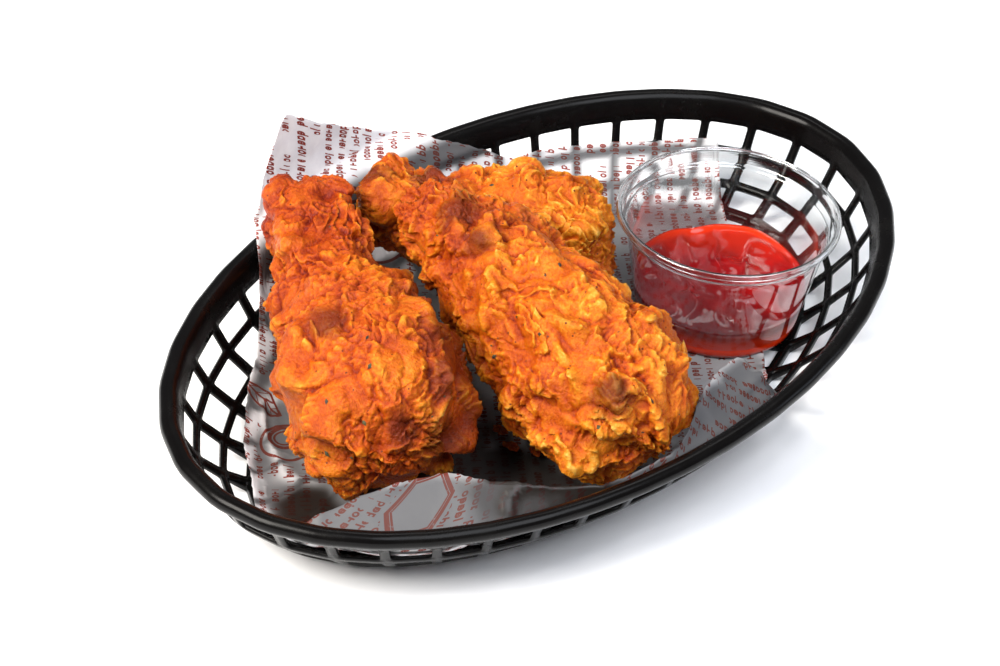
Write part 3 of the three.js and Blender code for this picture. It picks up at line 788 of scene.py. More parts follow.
class LinerSettings(bpy.types.PropertyGroup):
    stations: IntProperty(name="Stations", description="Columns of the sheet's mesh", default=420)
    rows: IntProperty(name="Rows", description="Rows of the sheet's mesh", default=84)
    thickness: size_property("Thickness", 0.12, "Thickness of the sheet in millimetres")
    row_pitch: size_property("Row pitch", 3.9, "Distance between printed rows in millimetres")
    # How strong the painted shade of the backing is
    backing_shade_strength: FloatProperty(name="Show-through", description="How grey the backing makes it", default=0.9)
    ink: colour_property("Ink", "#94301f", "Colour of the print")


class CrustSettings(bpy.types.PropertyGroup):
    around: IntProperty(name="Around", description="Points round a drumstick", default=320)
    along: IntProperty(name="Along", description="Rings along a drumstick", default=305)
    flake_height: size_property("Flake height", 1.3, "Rise of the large flakes in millimetres")
    fold_height: size_property("Fold height", 1.9, "Rise of the folds in millimetres")


class CupSettings(bpy.types.PropertyGroup):
    base_radius: size_property("Base radius", 22.4, "Radius of the foot in millimetres")
    top_radius: size_property("Top radius", 28.2, "Radius of the wall at the top in millimetres")
    rim_radius: size_property("Rim radius", 30.4, "Radius of the rolled rim in millimetres")
    height: size_property("Height", 34.0, "Height of the cup in millimetres")
    wall: size_property("Wall", 0.45, "Thickness of the wall in millimetres")
    colour: colour_property("Plastic", "#f8fbfc", "Colour of the clear wall")


class DipSettings(bpy.types.PropertyGroup):
    level: size_property("Level", 14.4, "Height of the dip's middle in millimetres")
    colour: colour_property("Sauce", "#6c0206", "Colour of the thick sauce")


class StageSettings(bpy.types.PropertyGroup):
    floor_colour: colour_property("Board", "#f3f4f6", "Colour of the board")
    key_power: FloatProperty(name="Key", description="Power of the main soft light in watts", default=14.0)
    fill_power: FloatProperty(name="Fill", description="Power of the soft fill in watts", default=6.5)
    pane_power: FloatProperty(name="Panes", description="Power of each bright pane in watts", default=0.3)
    sky: FloatProperty(name="Surround", description="Strength of the white surround", default=0.26)


def hand_over(made, node):
    """The finished piece takes its solid's place, the solid hidden, and hangs from the root."""
    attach(made, "root")
    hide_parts(node)


# Basket
# How firmly the windows' edges hold when the lattice is rounded
CRISPNESS = 0.5


class BASKET_OT_moulding(bpy.types.Operator):
    """Builds the basket: rim, hoops, ribs and floor in one lattice, rounded by subdivision"""

    bl_idname = "basket.moulding"
    bl_label = "Basket"

    def execute(self, context):
        s = context.scene.basket_settings
        ribs = rib_angles(s.rib_count, s.length, s.width)
        points = []
        faces = []
        creases = set()
        # Four columns to a rib: its two edges, then one beside each edge of the window that follows
        columns = 4 * s.rib_count

        def row(section):
            """Adds a row of points round the basket and gives the number of its first."""
            inset, height = section
            start = len(points)
            pace = np.hypot((s.length / 2 - inset) * np.sin(ribs), (s.width / 2 - inset) * np.cos(ribs))
            half = s.rib_width / 2 / pace
            onward = np.roll(ribs, -1)
            gap = (onward - half - ribs - half) % (2 * math.pi)
            corner = np.minimum(s.corner / pace, gap * 0.3)
            angles = np.stack([ribs - half, ribs + half, ribs + half + corner, onward - half - corner], 1)
            points.extend(oval_point(angles.reshape(-1), inset, height, s.length, s.width).tolist())
            return start

        wall = []
        for (inner_here, outer_here, kind), below in zip((WINDOW_TOP,) + WALL_ROWS, WALL_ROWS + (None,)):
            wall.append((inner_here, outer_here, kind))
            if kind in ("ribs", "alternate ribs"):
                # Rows beside the window's upper and lower edges round its corners
                drop = math.dist(inner_here, below[0])
                near = min(s.corner / drop, 0.3)
                for share in (near, 1 - near):
                    between = [
                        tuple(a + (b - a) * share for a, b in zip(here, there))
                        for here, there in ((inner_here, below[0]), (outer_here, below[1]))
                    ]
                    wall.append((*between, kind))
        inner = [row(step[0]) for step in wall]
        outer = [row(step[1]) for step in wall]
        rim = [inner[0], *[row(section) for section in RIM_SECTION], outer[0]]

        def band(low, high, c):
            """Adds one column's face between two rows."""
            n = (c + 1) % columns
            faces.append((low + c, high + c, high + n, low + n))

        def edge(*corners):
            """Adds a face of a window's edge and keeps its two long sides crisp."""
            faces.append(corners)
            creases.update({tuple(sorted(corners[:2])), tuple(sorted(corners[2:]))})

        def solid(kind, c):
            """Whether the moulding is closed in this column, or open as a window."""
            return {"hoop": True, "ribs": c % 4 == 0, "alternate ribs": c % 8 == 0, "plate": True}[kind]

        for low, high in zip(rim, rim[1:]):
            for c in range(columns):
                band(low, high, c)
        for i in range(len(wall) - 1):
            kind = wall[i][2]
            for c in range(columns):
                n = (c + 1) % columns
                if solid(kind, c):
                    band(inner[i + 1], inner[i], c)
                    band(outer[i], outer[i + 1], c)
                    if not solid(kind, (c - 1) % columns):
                        edge(inner[i] + c, inner[i + 1] + c, outer[i + 1] + c, outer[i] + c)
                    if not solid(kind, n):
                        edge(outer[i] + n, outer[i + 1] + n, inner[i + 1] + n, inner[i] + n)
                else:
                    if i == 0 or solid(wall[i - 1][2], c):
                        edge(inner[i] + c, inner[i] + n, outer[i] + n, outer[i] + c)
                    if solid(wall[i + 1][2], c):
                        edge(inner[i + 1] + n, inner[i + 1] + c, outer[i + 1] + c, outer[i + 1] + n)
        last = len(wall) - 1
        points += [[0, 0, wall[last][0][1]], [0, 0, wall[last][1][1]]]
        top, bottom = len(points) - 2, len(points) - 1
        for c in range(columns):
            n = (c + 1) % columns
            faces.append((top, inner[last] + c, inner[last] + n))
            faces.append((bottom, outer[last] + n, outer[last] + c))
        made = mesh_object("basket_moulding", points, faces, moulded_polypropylene(s))
        crease = made.data.attributes.new("crease_edge", "FLOAT", "EDGE")
        sides = [tuple(sorted(e.vertices)) for e in made.data.edges]
        crease.data.foreach_set("value", [CRISPNESS if side in creases else 0.0 for side in sides])
        smooth = made.modifiers.new("rounding", "SUBSURF")
        smooth.levels = smooth.render_levels = 1
        hand_over(made, "basket")
        return {"FINISHED"}


# Paper
# Step in mm along the sheet's way, and how many rounds of averaging ease its corners
SHEET_STEP = 0.5
SHEET_EASING = 14
# How far the flat sheet follows its straight run instead of its round one, by degrees round the basket
SHEET_STRAIGHTNESS = ((0, 0), (20, 1), (114, 1), (136, 0), (360, 0))


def sheet_line(angle, settings):
    """The sheet's way at one angle: run lengths and points in small even steps, its corners eased."""
    path = PAPER_PATH
    if math.sin(angle) < 0:
        lean = np.interp(math.degrees(angle), *np.array(PAPER_LEAN).T)
        inset, height = PAPER_PATH[3]
        path = PAPER_PATH[:4] + ((inset + lean * 4, height + 4), (inset + lean * 12, height + 12))
    knots = [np.array([0, 0, path[0][1]])]
    knots += [oval_point(np.array(angle), i, h, settings.length, settings.width) for i, h in path]
    knots = np.array(knots)
    runs = np.concatenate([[0], np.cumsum(np.linalg.norm(np.diff(knots, axis=0), axis=1))])
    fine = np.arange(0, runs[-1], SHEET_STEP)
    line = np.stack([np.interp(fine, runs, knots[:, k]) for k in range(3)], 1)
    eased = line.copy()
    for _ in range(SHEET_EASING):
        eased[1:-1] = (eased[:-2] + eased[2:] + 2 * eased[1:-1]) / 4
    return fine, eased


def sheet_end(angle, fine, line):
    """Run length at which the sheet's edge comes, going out from the middle at one angle."""
    turn = math.degrees(angle) % 360
    high = np.interp(turn, *np.array(PAPER_EDGE).T)
    left = np.interp(turn, *np.array(PAPER_LEFT_REACH).T)
    side = line[:, 0] * math.sin(PAPER_TURN) - line[:, 1] * math.cos(PAPER_TURN)
    outside = (line[:, 2] >= high) | (side <= -left) | (side >= PAPER_RIGHT_REACH)
    return fine[np.argmax(outside)] if outside.any() else fine[-1]


def flat_places(line, run, turn):
    """Where the points of one line of the sheet lie on it when it is flat: along and across its print."""
    sine, cosine = math.sin(PAPER_TURN), math.cos(PAPER_TURN)
    heading = math.atan2(line[5, 1], line[5, 0]) - PAPER_TURN
    round_way = np.stack([run * math.cos(heading), run * math.sin(heading)], 1)
    forward = np.diff(line[:, 0] * cosine + line[:, 1] * sine, prepend=0)
    rise = np.diff(line[:, 2], prepend=line[0, 2])
    along = np.cumsum(np.hypot(forward, rise) * np.where(rise > 0.01, 1, np.sign(forward)))
    across = line[:, 1] * cosine - line[:, 0] * sine
    straight = np.interp(turn, *np.array(SHEET_STRAIGHTNESS).T)
    return round_way + (np.stack([along, across], 1) - round_way) * straight


# Half widths in mm of the painted shade that a rib and a hoop behind the sheet leave on it
RIB_SHADE = 1.55
HOOP_SHADE = 1.25


def sheet_backing_shade(points, settings):
    """Painted shade: 1 where a rib or hoop lies right behind the sheet, falling off softly to 0 between them,
    and 0.75 on the floor.
    """
    x, y, z = points.T
    ribs = rib_angles(settings.rib_count, settings.length, settings.width)
    inset = np.interp(z, [p[1] for p in PAPER_PATH[:6]], [p[0] for p in PAPER_PATH[:6]])
    a, b = settings.length / 2 - inset, settings.width / 2 - inset
    angle = np.arctan2(y / b, x / a)
    pace = np.hypot(a * np.sin(angle), b * np.cos(angle))
    turn = np.abs(np.angle(np.exp(1j * (angle[:, None] - ribs[None])))).min(1) * pace
    soft = np.exp(-((turn / RIB_SHADE) ** 4))
    for level in HOOP_LEVELS:
        soft = np.maximum(soft, np.exp(-(((z - level) / HOOP_SHADE) ** 4)))
    soft = np.maximum(soft, smooth_step(z, 20.2, 21.6))
    on_wall = smooth_step(np.hypot(x / (settings.length / 2), y / (settings.width / 2)), 0.6, 0.7)
    below_rim = 1 - smooth_step(z, 28.0, 31.0)
    return np.clip(soft * on_wall * below_rim + 0.75 * (1 - on_wall), 0, 1)


# Where fat from the food has soaked the sheet, which is also painted dark there as shade, as (x, y, z, reach)
GREASE_AND_SHADE_SPOTS = (
    (-46, -26, 4, 17), (-44, -4, 4, 14), (-42, 14, 4, 10), (-42, -42, 8, 15), (-62, -46, 24, 12),
    (-50, -54, 26, 10), (10, -36, 4, 9), (-86, 0, 5, 9),
)


def sheet_grease_and_shade(points):
    """1 where fat from the food has soaked the sheet and painted shade darkens it, falling to 0 a little way
    out.
    """
    spots = np.array(GREASE_AND_SHADE_SPOTS, float)
    away = np.linalg.norm(points[:, None] - spots[:, :3], axis=2) - spots[:, 3]
    edge = away.min(1) + 3.0 * gradient_noise(points / 11, 301) + 1.2 * gradient_noise(points / 4, 303)
    return 1 - smooth_step(edge, -3.0, 4.5)


class BASKET_OT_liner(bpy.types.Operator):
    """Lays the printed paper sheet through the basket"""

    bl_idname = "basket.liner"
    bl_label = "Paper liner"

    def execute(self, context):
        basket = context.scene.basket_settings
        s = context.scene.liner_settings
        shares = np.linspace(0, 1, s.rows) ** 0.75
        grid = np.zeros((s.rows, s.stations, 3))
        flat = np.zeros((s.rows, s.stations, 2))
        ends = []
        lines = []
        for i in range(s.stations):
            angle = 2 * math.pi * i / s.stations
            fine, line = sheet_line(angle, basket)
            lines.append((fine, line))
            ends.append(sheet_end(angle, fine, line))
        ends = np.array(ends)
        for i, (fine, line) in enumerate(lines):
            run = shares * ends[i]
            grid[:, i] = np.stack([np.interp(run, fine, line[:, k]) for k in range(3)], 1)
            flat[:, i] = flat_places(grid[:, i], run, 360 * i / s.stations)
        points = grid.reshape(-1, 3)
        normal = -grid_normals(points, s.rows, s.stations)
        normal[normal[:, 2] < -0.2] *= -1
        # Creases and a slow buckle, more towards the free edges
        reach = np.repeat(shares[:, None], s.stations, 1).reshape(-1)
        bend = warp_of(points, 30, 301) * 6
        crease = ridges((points + bend) / 26, 311, 6.0) * 1.1 + ridges((points + bend) / 11, 317, 8.0) * 0.35
        buckle = (gradient_noise(points / 34, 307) + 0.6) * 0.8
        free = smooth_step(points[:, 2], 26, 45)
        lift = 0.45 + np.maximum(crease + buckle, 0) * (0.35 + 0.65 * smooth_step(reach, 0.3, 0.8))
        lift += free * (gradient_noise(points / 24, 331) * 1.0 - 0.3)
        points = points + normal * lift[:, None]
        faces = grid_faces(s.rows, s.stations)
        # The middle row is one point, so its ring of quads becomes a fan
        faces = [f for f in faces if f[0] >= s.stations]
        faces += [(0, s.stations + c, s.stations + (c + 1) % s.stations) for c in range(s.stations)]
        keep = np.concatenate([[0], np.arange(s.stations, len(points))])
        renumber = np.zeros(len(points), int)
        renumber[keep] = np.arange(len(keep))
        faces = [tuple(int(renumber[v]) for v in reversed(f)) for f in faces]
        made = mesh_object("liner_sheet", points[keep], faces, greaseproof_paper(s))
        # Painted shade of the ribs, hoops and floor behind the sheet
        point_values(made, "backing_shade", sheet_backing_shade(points, basket)[keep])
        # Fat, with painted shade where the food shades the sheet
        point_values(made, "grease_and_shade", sheet_grease_and_shade(points)[keep])
        layer = made.data.uv_layers.new(name="flat_sheet")
        corners = np.zeros(len(made.data.loops), np.int32)
        made.data.loops.foreach_get("vertex_index", corners)
        layer.data.foreach_set("uv", flat.reshape(-1, 2)[keep][corners].astype(np.float32).reshape(-1))
        solid = made.modifiers.new("thickness", "SOLIDIFY")
        solid.thickness = s.thickness * MM
        solid.offset = 0
        hand_over(made, "paper_liner")
        return {"FINISHED"}


# Drumsticks
def drumstick_form(shape, settings):
    """Rings of points of the plain form with its large bumps, with caps closed to a point."""
    curve = Curve(shape["line"])
    girth = np.array(shape["girth"], float)
    first, last = girth[0, 1], girth[-1, 1]
    total = curve.length + (first + last) * math.pi / 2
    rings = settings.along
    cap_a = max(int(rings * first * math.pi / 2 / total), 8)
    cap_b = max(int(rings * last * math.pi / 2 / total), 8)
    middle = rings - cap_a - cap_b
    tilt_a = np.linspace(0.035, 1, cap_a) * math.pi / 2
    tilt_b = np.linspace(0, 0.965, cap_b) * math.pi / 2
    along = np.concatenate([np.zeros(cap_a), (np.arange(middle) + 1) / (middle + 1), np.ones(cap_b)])
    back = np.concatenate([np.cos(tilt_a), np.zeros(middle), -np.sin(tilt_b)])
    share = np.concatenate([np.sin(tilt_a), np.ones(middle), np.cos(tilt_b)])
    centre = curve.at(along)
    ahead = curve.ahead(along)
    side = np.cross([0, 0, 1], ahead)
    side /= np.linalg.norm(side, axis=1)[:, None]
    up = np.cross(ahead, side)
    radius = np.interp(along, girth[:, 0], girth[:, 1])
    spread_a, spread_r = np.meshgrid(circle(settings.around), np.arange(rings))
    out = (
        side[spread_r] * (np.cos(spread_a) * share[spread_r])[..., None]
        + up[spread_r] * (np.sin(spread_a) * share[spread_r])[..., None]
        - ahead[spread_r] * back[spread_r][..., None]
    )
    place = along - back * radius / curve.length
    bumps = crust_bumps(shape["seed"], shape["bumps"])
    height = bump_height(bumps, place[spread_r], spread_a, radius[spread_r], curve.length)
    height = np.where(height > 1.0, 1.0 + (height - 1.0) * 0.5, height)
    points = centre[spread_r] + out * (radius[spread_r] + height)[..., None]
    return (
        points.reshape(-1, 3), height.reshape(-1), np.repeat(place[:, None], settings.around, 1).reshape(-1)
    )


def lumps(points, seed, seam):
    """Rounded heaps with narrow creases between them, 0 in the crease and towards 1 on top."""
    return np.minimum(np.abs(gradient_noise(points, seed)) * 2.0, 1.25) ** seam


def shells(points, size, turns, seed, edge):
    """Thin overlapping shells along the contours of a noise: height of each up to its edge, and the way
    in which it climbs."""
    level = gradient_noise(points / size, seed)
    step = 0.06 * size
    climb = np.stack(
        [gradient_noise((points + step * np.eye(3)[k]) / size, seed) - level for k in range(3)], 1
    )
    climb /= np.maximum(np.linalg.norm(climb, axis=1), 1e-6)[:, None]
    part = level * turns - np.floor(level * turns)
    return np.where(part < edge, (part / edge) ** 1.6, (1 - part) / (1 - edge)), climb


def ribbons(points, size, turns, seed, sharp):
    """Thin wavy crests at even steps along the contours of a noise."""
    part = gradient_noise(points / size, seed) * turns
    return (1 - np.abs(2 * (part - np.floor(part)) - 1)) ** sharp


def stretched(points, axis, factor):
    """Squeezes space along an axis, so that a pattern read there comes out `factor` times as long."""
    return points - np.outer(points @ axis, axis) * (1 - 1 / factor)


def crust_relief(points, normal, axis, seed, settings):
    """Swells, creases, curled shells, ribbons and knobs over the plain form: how far each point moves, and
    its height. Each pattern's size and height are in millimetres."""
    bent = points + warp_of(points, 13, seed) * 4.0
    wavy = bent + warp_of(points, 3.4, seed + 5) * 1.1
    finer = points + warp_of(points, 2.4, seed + 51) * 0.8
    calm = smooth_step(gradient_noise(points / 11, seed + 31), -0.05, 0.3)
    knobby = smooth_step(gradient_noise(points / 9, seed + 32), 0.08, 0.42)
    rough = 1 - 0.9 * calm
    swells = gradient_noise(points / 16, seed + 21)
    creases = lumps(stretched(bent, axis, 1.9) / 10.0, seed + 23, 0.55)
    folds = ridges(stretched(bent, axis, 2.2) / 6.5, seed + 25, 1.5)
    lobes = np.minimum(lumps(stretched(bent, axis, 1.7) / 21, seed + 27, 0.35), 0.95)
    plates = flakes(stretched(wavy, axis, 1.4), 9.0, seed + 11, 0.7, 7)
    petals, climb = shells(stretched(wavy, axis, 1.6), 9.5, 3.2, seed + 61, 0.84)
    leaves, turn = shells(wavy + 30, 5.6, 1.6, seed + 71, 0.8)
    fringe = ribbons(stretched(wavy, axis, 1.3), 6.0, 3.2, seed + 81, 2.0)
    knobs = lumps(finer / 2.6, seed + 59, 0.75)
    crumbs = lumps(finer / 1.3, seed + 67, 0.8)
    petals *= rough * (1 - 0.8 * knobby)
    leaves *= (0.25 + 0.75 * rough) * (1 - 0.6 * knobby)
    height = (
        1.3 * swells
        + 1.5 * (lobes - 0.8)
        + settings.fold_height * ((creases - 0.7) * 0.8 + (folds - 0.35) * 0.35 * rough)
        + settings.flake_height * (plates - 0.3) * 0.55 * (0.4 + 0.6 * rough)
        + 1.05 * petals
        + 0.5 * leaves
        + 0.45 * (fringe - 0.33) * rough * (1 - knobby)
        + 1.1 * (knobs - 0.5) * knobby
        + 0.34 * (crumbs - 0.5) * (0.4 + 0.6 * knobby)
        + 0.09 * gradient_noise(points / 0.85, seed + 41)
    )
    height -= np.mean(height) + 0.15
    lean = climb * (0.75 * petals)[:, None] + turn * (0.4 * leaves)[:, None]
    lean -= normal * (lean * normal).sum(1)[:, None]
    return normal * height[:, None] + lean, height


# How much lighter the batter is per millimetre that it stands above its wide and its near surroundings, which
# are averaged over so many rounds, partly its own colour and partly painted shade and light, and how much
# darker it is painted towards the knuckle, as shade
WIDE_ROUNDS, WIDE_TONE = 60, 0.18
NEAR_ROUNDS, NEAR_TONE = 10, 0.27
# Painted shade towards the knuckle, where the shank gets less light
KNUCKLE_SHADE = 0.14


class BASKET_OT_drumsticks(bpy.types.Operator):
    """Builds the three drumsticks with their battered crust"""

    bl_idname = "basket.drumsticks"
    bl_label = "Drumsticks"

    def execute(self, context):
        s = context.scene.crust_settings
        basket = context.scene.basket_settings
        material = battered_crust()
        for name, shape in DRUMSTICKS.items():
            points, bumps, place = drumstick_form(shape, s)
            normal = grid_normals(points, s.along, s.around)
            middle = points.mean(0)
            normal *= np.sign(((points - middle) * normal).sum())
            normal = np.stack([blurred(normal[:, k], s.along, s.around, 6) for k in range(3)], 1)
            normal /= np.linalg.norm(normal, axis=1)[:, None]
            axis = np.subtract(shape["line"][-1], shape["line"][0])
            axis = axis / np.linalg.norm(axis)
            move, height = crust_relief(points, normal, axis, shape["seed"] * 100, s)
            points = settle(points + move, basket)
            tall = height + 0.45 * bumps
            wide = tall - blurred(tall, s.along, s.around, WIDE_ROUNDS)
            near = tall - blurred(tall, s.along, s.around, NEAR_ROUNDS)
            points, faces = closed_rings(points, s.along, s.around)
            made = mesh_object(f"crust_{name}", points, faces, material)
            # Partly painted: shade in the hollows and light on the crests
            tone = np.clip(0.5 + WIDE_TONE * wide + NEAR_TONE * near, 0, 1)
            # Painted light and shade: each piece lighter or darker as a whole, and darker towards the
            # knuckle, where the shank gets less light
            tone += shape["painted_light_tone"] - KNUCKLE_SHADE * smooth_step(place, 0.25, 0.85)
            point_values(made, "tone", np.append(tone, [0.4, 0.4]))
            # Spots of browning and of painted shade, with ragged edges
            spots = np.array(shape["browned_and_shade"], float)
            away = np.linalg.norm(points[:, None] - spots[:, :3], axis=2)
            away += 3 * gradient_noise(points / 4, 91)[:, None]
            point_values(made, "browned_and_shade", np.clip(1.6 - 1.3 * away / spots[:, 3], 0, 1).max(1))
            hand_over(made, f"drumstick_{name}")
        return {"FINISHED"}


# Scraps of batter that dropped into the gap between the pieces: middle, length, width and turn in degrees
SCRAPS = (
    (-30.3, -12.4, 4.9, 5.6, 2.7, 72),
    (-33.0, -18.8, 4.8, 6.2, 2.6, 80),
    (-29.9, -24.3, 4.8, 6.0, 2.8, 66),
)


class BASKET_OT_scraps(bpy.types.Operator):
    """Drops the scraps of batter on to the sheet"""

    bl_idname = "basket.scraps"
    bl_label = "Batter scraps"

    def execute(self, context):
        rows, columns = 34, 40
        around, polar = np.meshgrid(circle(columns), np.linspace(0.06, math.pi - 0.06, rows))
        side = np.sin(polar)
        oval = np.stack([np.cos(polar), side * np.cos(around), 0.5 * side * np.sin(around)], -1) / 2
        points = []
        faces = []
        heights = []
        for number, (x, y, z, length, width, turn) in enumerate(SCRAPS):
            plain = oval.reshape(-1, 3) * (length, width, width)
            crumpled = plain * (1 + 0.5 * gradient_noise(plain / 1.5 + number * 9, 501))[:, None]
            crumpled += warp_of(plain, 0.8, 503) * 0.18
            slant = Matrix.Rotation(math.radians(turn), 3, "Z") @ Matrix.Rotation(math.radians(14), 3, "Y")
            scrap, sides = closed_rings(crumpled @ np.array(slant).T + (x, y, z), rows, columns)
            faces += [tuple(len(points) + corner for corner in reversed(side)) for side in sides]
            points += scrap.tolist()
            swell = np.linalg.norm(crumpled, axis=1) / np.linalg.norm(plain, axis=1) - 1
            heights += np.append(0.35 + 0.6 * swell, [0.4, 0.4]).tolist()
        made = mesh_object("batter_scraps", points, faces, bpy.data.materials["battered crust"])
        point_values(made, "tone", np.array(heights))
        point_values(made, "browned_and_shade", np.full(len(points), 0.3))
        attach(made, "root")
        return {"FINISHED"}


# How many fine flecks each piece has, and where the largest show on it, in mm
PEPPER_COUNTS = {"left": 95, "middle": 120, "back": 55}
PEPPER_SPOTS = {
    "left": (
        (-69.7, -1.2, 50.5), (-74.8, -7.9, 47.7), (-82.5, -13.0, 37.3), (-85.2, -12.3, 27.2),
        (-87.5, -6.5, 26.9), (-86.1, -4.8, 40.9),
    ),
    "middle": (
        (-35.3, -18.5, 46.9), (-35.2, -27.1, 47.0), (-28.3, -57.9, 40.3), (-17.9, -17.3, 54.8),
        (-39.4, -51.1, 33.5), (-43.0, -16.0, 36.0),
    ),
    "back": ((8.0, 30.0, 45.0),),
}


class BASKET_OT_pepper(bpy.types.Operator):
    """Scatters flecks of ground pepper over the crust"""

    bl_idname = "basket.pepper"
    bl_label = "Pepper flecks"

    def execute(self, context):
        rng = np.random.default_rng(77)
        corners = np.array([(1, 0, 0), (0, 1, 0), (-1, 0, 0), (0, -1, 0), (0, 0, 1), (0, 0, -1)], float)
        sides = [(0, 1, 4), (1, 2, 4), (2, 3, 4), (3, 0, 4), (1, 0, 5), (2, 1, 5), (3, 2, 5), (0, 3, 5)]
        points = []
        faces = []
        for name, count in PEPPER_COUNTS.items():
            mesh = bpy.data.objects[f"crust_{name}"].data
            places = np.array([v.co for v in mesh.vertices]) / MM
            chosen = [(int(i), 0.16 + 0.3 * rng.random() ** 2) for i in rng.integers(0, len(places), count)]
            for spot in PEPPER_SPOTS[name]:
                chosen.append(
                    (int(np.linalg.norm(places - spot, axis=1).argmin()), 0.7 + 0.35 * rng.random())
                )
            for index, girth in chosen:
                vertex = mesh.vertices[index]
                size = girth * np.array([1.0, 0.45 + 0.3 * rng.random(), 0.3])
                upright = vertex.normal.to_track_quat("Z", "X").to_matrix()
                turn = upright @ Matrix.Rotation(rng.random() * 2 * math.pi, 3, "Z")
                shaped = (corners + rng.normal(size=corners.shape) * 0.16) * size
                at = np.array(vertex.co) / MM + np.array(vertex.normal) * 0.08
                start = len(points)
                points += (shaped @ np.array(turn).T + at).tolist()
                faces += [tuple(start + v for v in side) for side in sides]
        made = mesh_object("pepper_flecks", points, faces, ground_pepper(), smooth=False)
        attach(made, "root")
        return {"FINISHED"}


# Cup and dip
CUP_CENTRE = np.array([51.8, -18.2, REST_HEIGHT])
CUP_COLUMNS = 144
DIP_RINGS = 46
# Height above the cup's foot where the dip's side ends, and how far the side reaches into the wall
DIP_FOOT = 1.5
DIP_INTO_WALL = 0.15


def cup_inner_radius(s, height):
    """Radius of the inside of the cup's wall at a height above its foot."""
    return s.base_radius - s.wall + (s.top_radius - s.base_radius) * height / s.height


class BASKET_OT_cup(bpy.types.Operator):
    """Turns the clear cup: raised foot, tapered wall, skirt and rolled rim"""

    bl_idname = "basket.cup"
    bl_label = "Dip cup"

    def execute(self, context):
        s = context.scene.cup_settings
        half = s.wall / 2
        shoulder = s.height - 5
        wall = s.base_radius - half + (s.top_radius - s.base_radius) * shoulder / s.height
        line = [
            (0.05, 1.1), (s.base_radius - 3.6, 1.1), (s.base_radius - 3.0, 0.35), (s.base_radius - 1.2, half),
            (s.base_radius - 0.3, 0.8), (wall, shoulder - 0.5), (wall + 0.35, shoulder + 0.2),
            (wall + 1.2, shoulder + 0.6), (wall + 1.65, shoulder + 1.3), (s.rim_radius - 1.5, s.height - 1.2),
            (s.rim_radius - 1.2, s.height - 0.45), (s.rim_radius - 0.7, s.height - half),
            (s.rim_radius - half, s.height - 0.7), (s.rim_radius - half, s.height - 1.6),
        ]
        rings = [ring(*place, circle(CUP_COLUMNS)) for place in shell(rounded(line), s.wall)]
        points, faces = closed_rings(np.vstack(rings) + CUP_CENTRE, len(rings), CUP_COLUMNS)
        made = mesh_object("portion_cup", points, faces, clear_pet(s))
        hand_over(made, "dip_cup")
        return {"FINISHED"}


# Smaller folds and hollows of the dip's top, as (x, y, reach, rise) in mm
DIP_FOLDS = (
    (14.0, 4.0, 6.5, -0.9), (11.2, 17.4, 4.5, -1.5), (19.5, 5.0, 7.0, 1.3), (1.5, 15.5, 5.5, -1.0),
    (-13.0, -3.0, 6.0, 1.2), (-6.0, 19.0, 5.0, 1.2),
)


def dip_wave(x, y):
    """Slow waves of the dip's top: tilted, a fold left of the middle and a trough beside it."""
    tilt = 0.035 * x + 0.03 * y
    fold = 3.6 * np.exp(-(((x - 4) / 6.5) ** 2) - ((y + 3) / 12) ** 2)
    trough = -2.4 * np.exp(-(((x + 5) / 6) ** 2) - ((y - 9) / 7) ** 2)
    for place_x, place_y, reach, rise in DIP_FOLDS:
        trough = trough + rise * np.exp(-((x - place_x) ** 2 + (y - place_y) ** 2) / reach**2)
    return tilt + fold + trough


class BASKET_OT_dip(bpy.types.Operator):
    """Fills the cup's foot with thick sauce: folds, a peak and a clinging edge"""

    bl_idname = "basket.dip"
    bl_label = "Tomato dip"

    def execute(self, context):
        s = context.scene.dip_settings
        cup = context.scene.cup_settings
        angle = circle(CUP_COLUMNS)
        rings = []
        base = s.level - REST_HEIGHT
        for share in np.linspace(0.02, 1, DIP_RINGS):
            place = ring(cup_inner_radius(cup, base) * share, 0, angle)
            swirl = warp_of(place, 9, 401) * 2.2
            high = dip_wave(*place[:, :2].T)
            high += ridges((place + swirl) / 11, 407, 3.0) * 1.1 * (1 - share**6)
            high += 0.25 * gradient_noise(place / 3.5, 409) * (1 - share**4)
            top = base - 0.5 + high + 0.7 * smooth_step(share, 0.93, 1.0)
            rings.append(np.column_stack([place[:, :2], top]))
        # The side reaches just into the cup's wall, the first ring of it in place of the top's last
        rings.pop()
        for drop in (0, 0.25, 0.5, 0.75, 1):
            height = top * (1 - drop) + DIP_FOOT * drop
            rings.append(ring(cup_inner_radius(cup, height) + DIP_INTO_WALL, height, angle))
        for inset, height in ((0.9, 0.42), (2.9, 0.48), (3.7, 1.22), (14.4, 1.22)):
            rings.append(ring(cup.base_radius - inset, height, angle))
        local, faces = closed_rings(np.vstack(rings), len(rings), CUP_COLUMNS)
        faces = [tuple(reversed(f)) for f in faces]
        made = mesh_object("tomato_sauce", local + CUP_CENTRE, faces, tomato_sauce(s))
        # Painted light low down by the wall, where light comes through the cup; more orange where the sauce
        # clings thinly on the far side
        wall = smooth_step(np.hypot(local[:, 0], local[:, 1]) / cup_inner_radius(cup, local[:, 2]), 0.86, 1.0)
        behind = smooth_step(local[:, 0] * 0.78 + local[:, 1] * 0.62, 6, 20)
        low = 1 - smooth_step(local[:, 2], 4.5, 9.5)
        point_values(made, "thin_and_painted_light", np.clip(wall * (low + 0.4 * behind) + 0.25 * behind, 0, 1))
        hand_over(made, "tomato_dip")
        return {"FINISHED"}


# Stage
BOARD_HALF = 1500
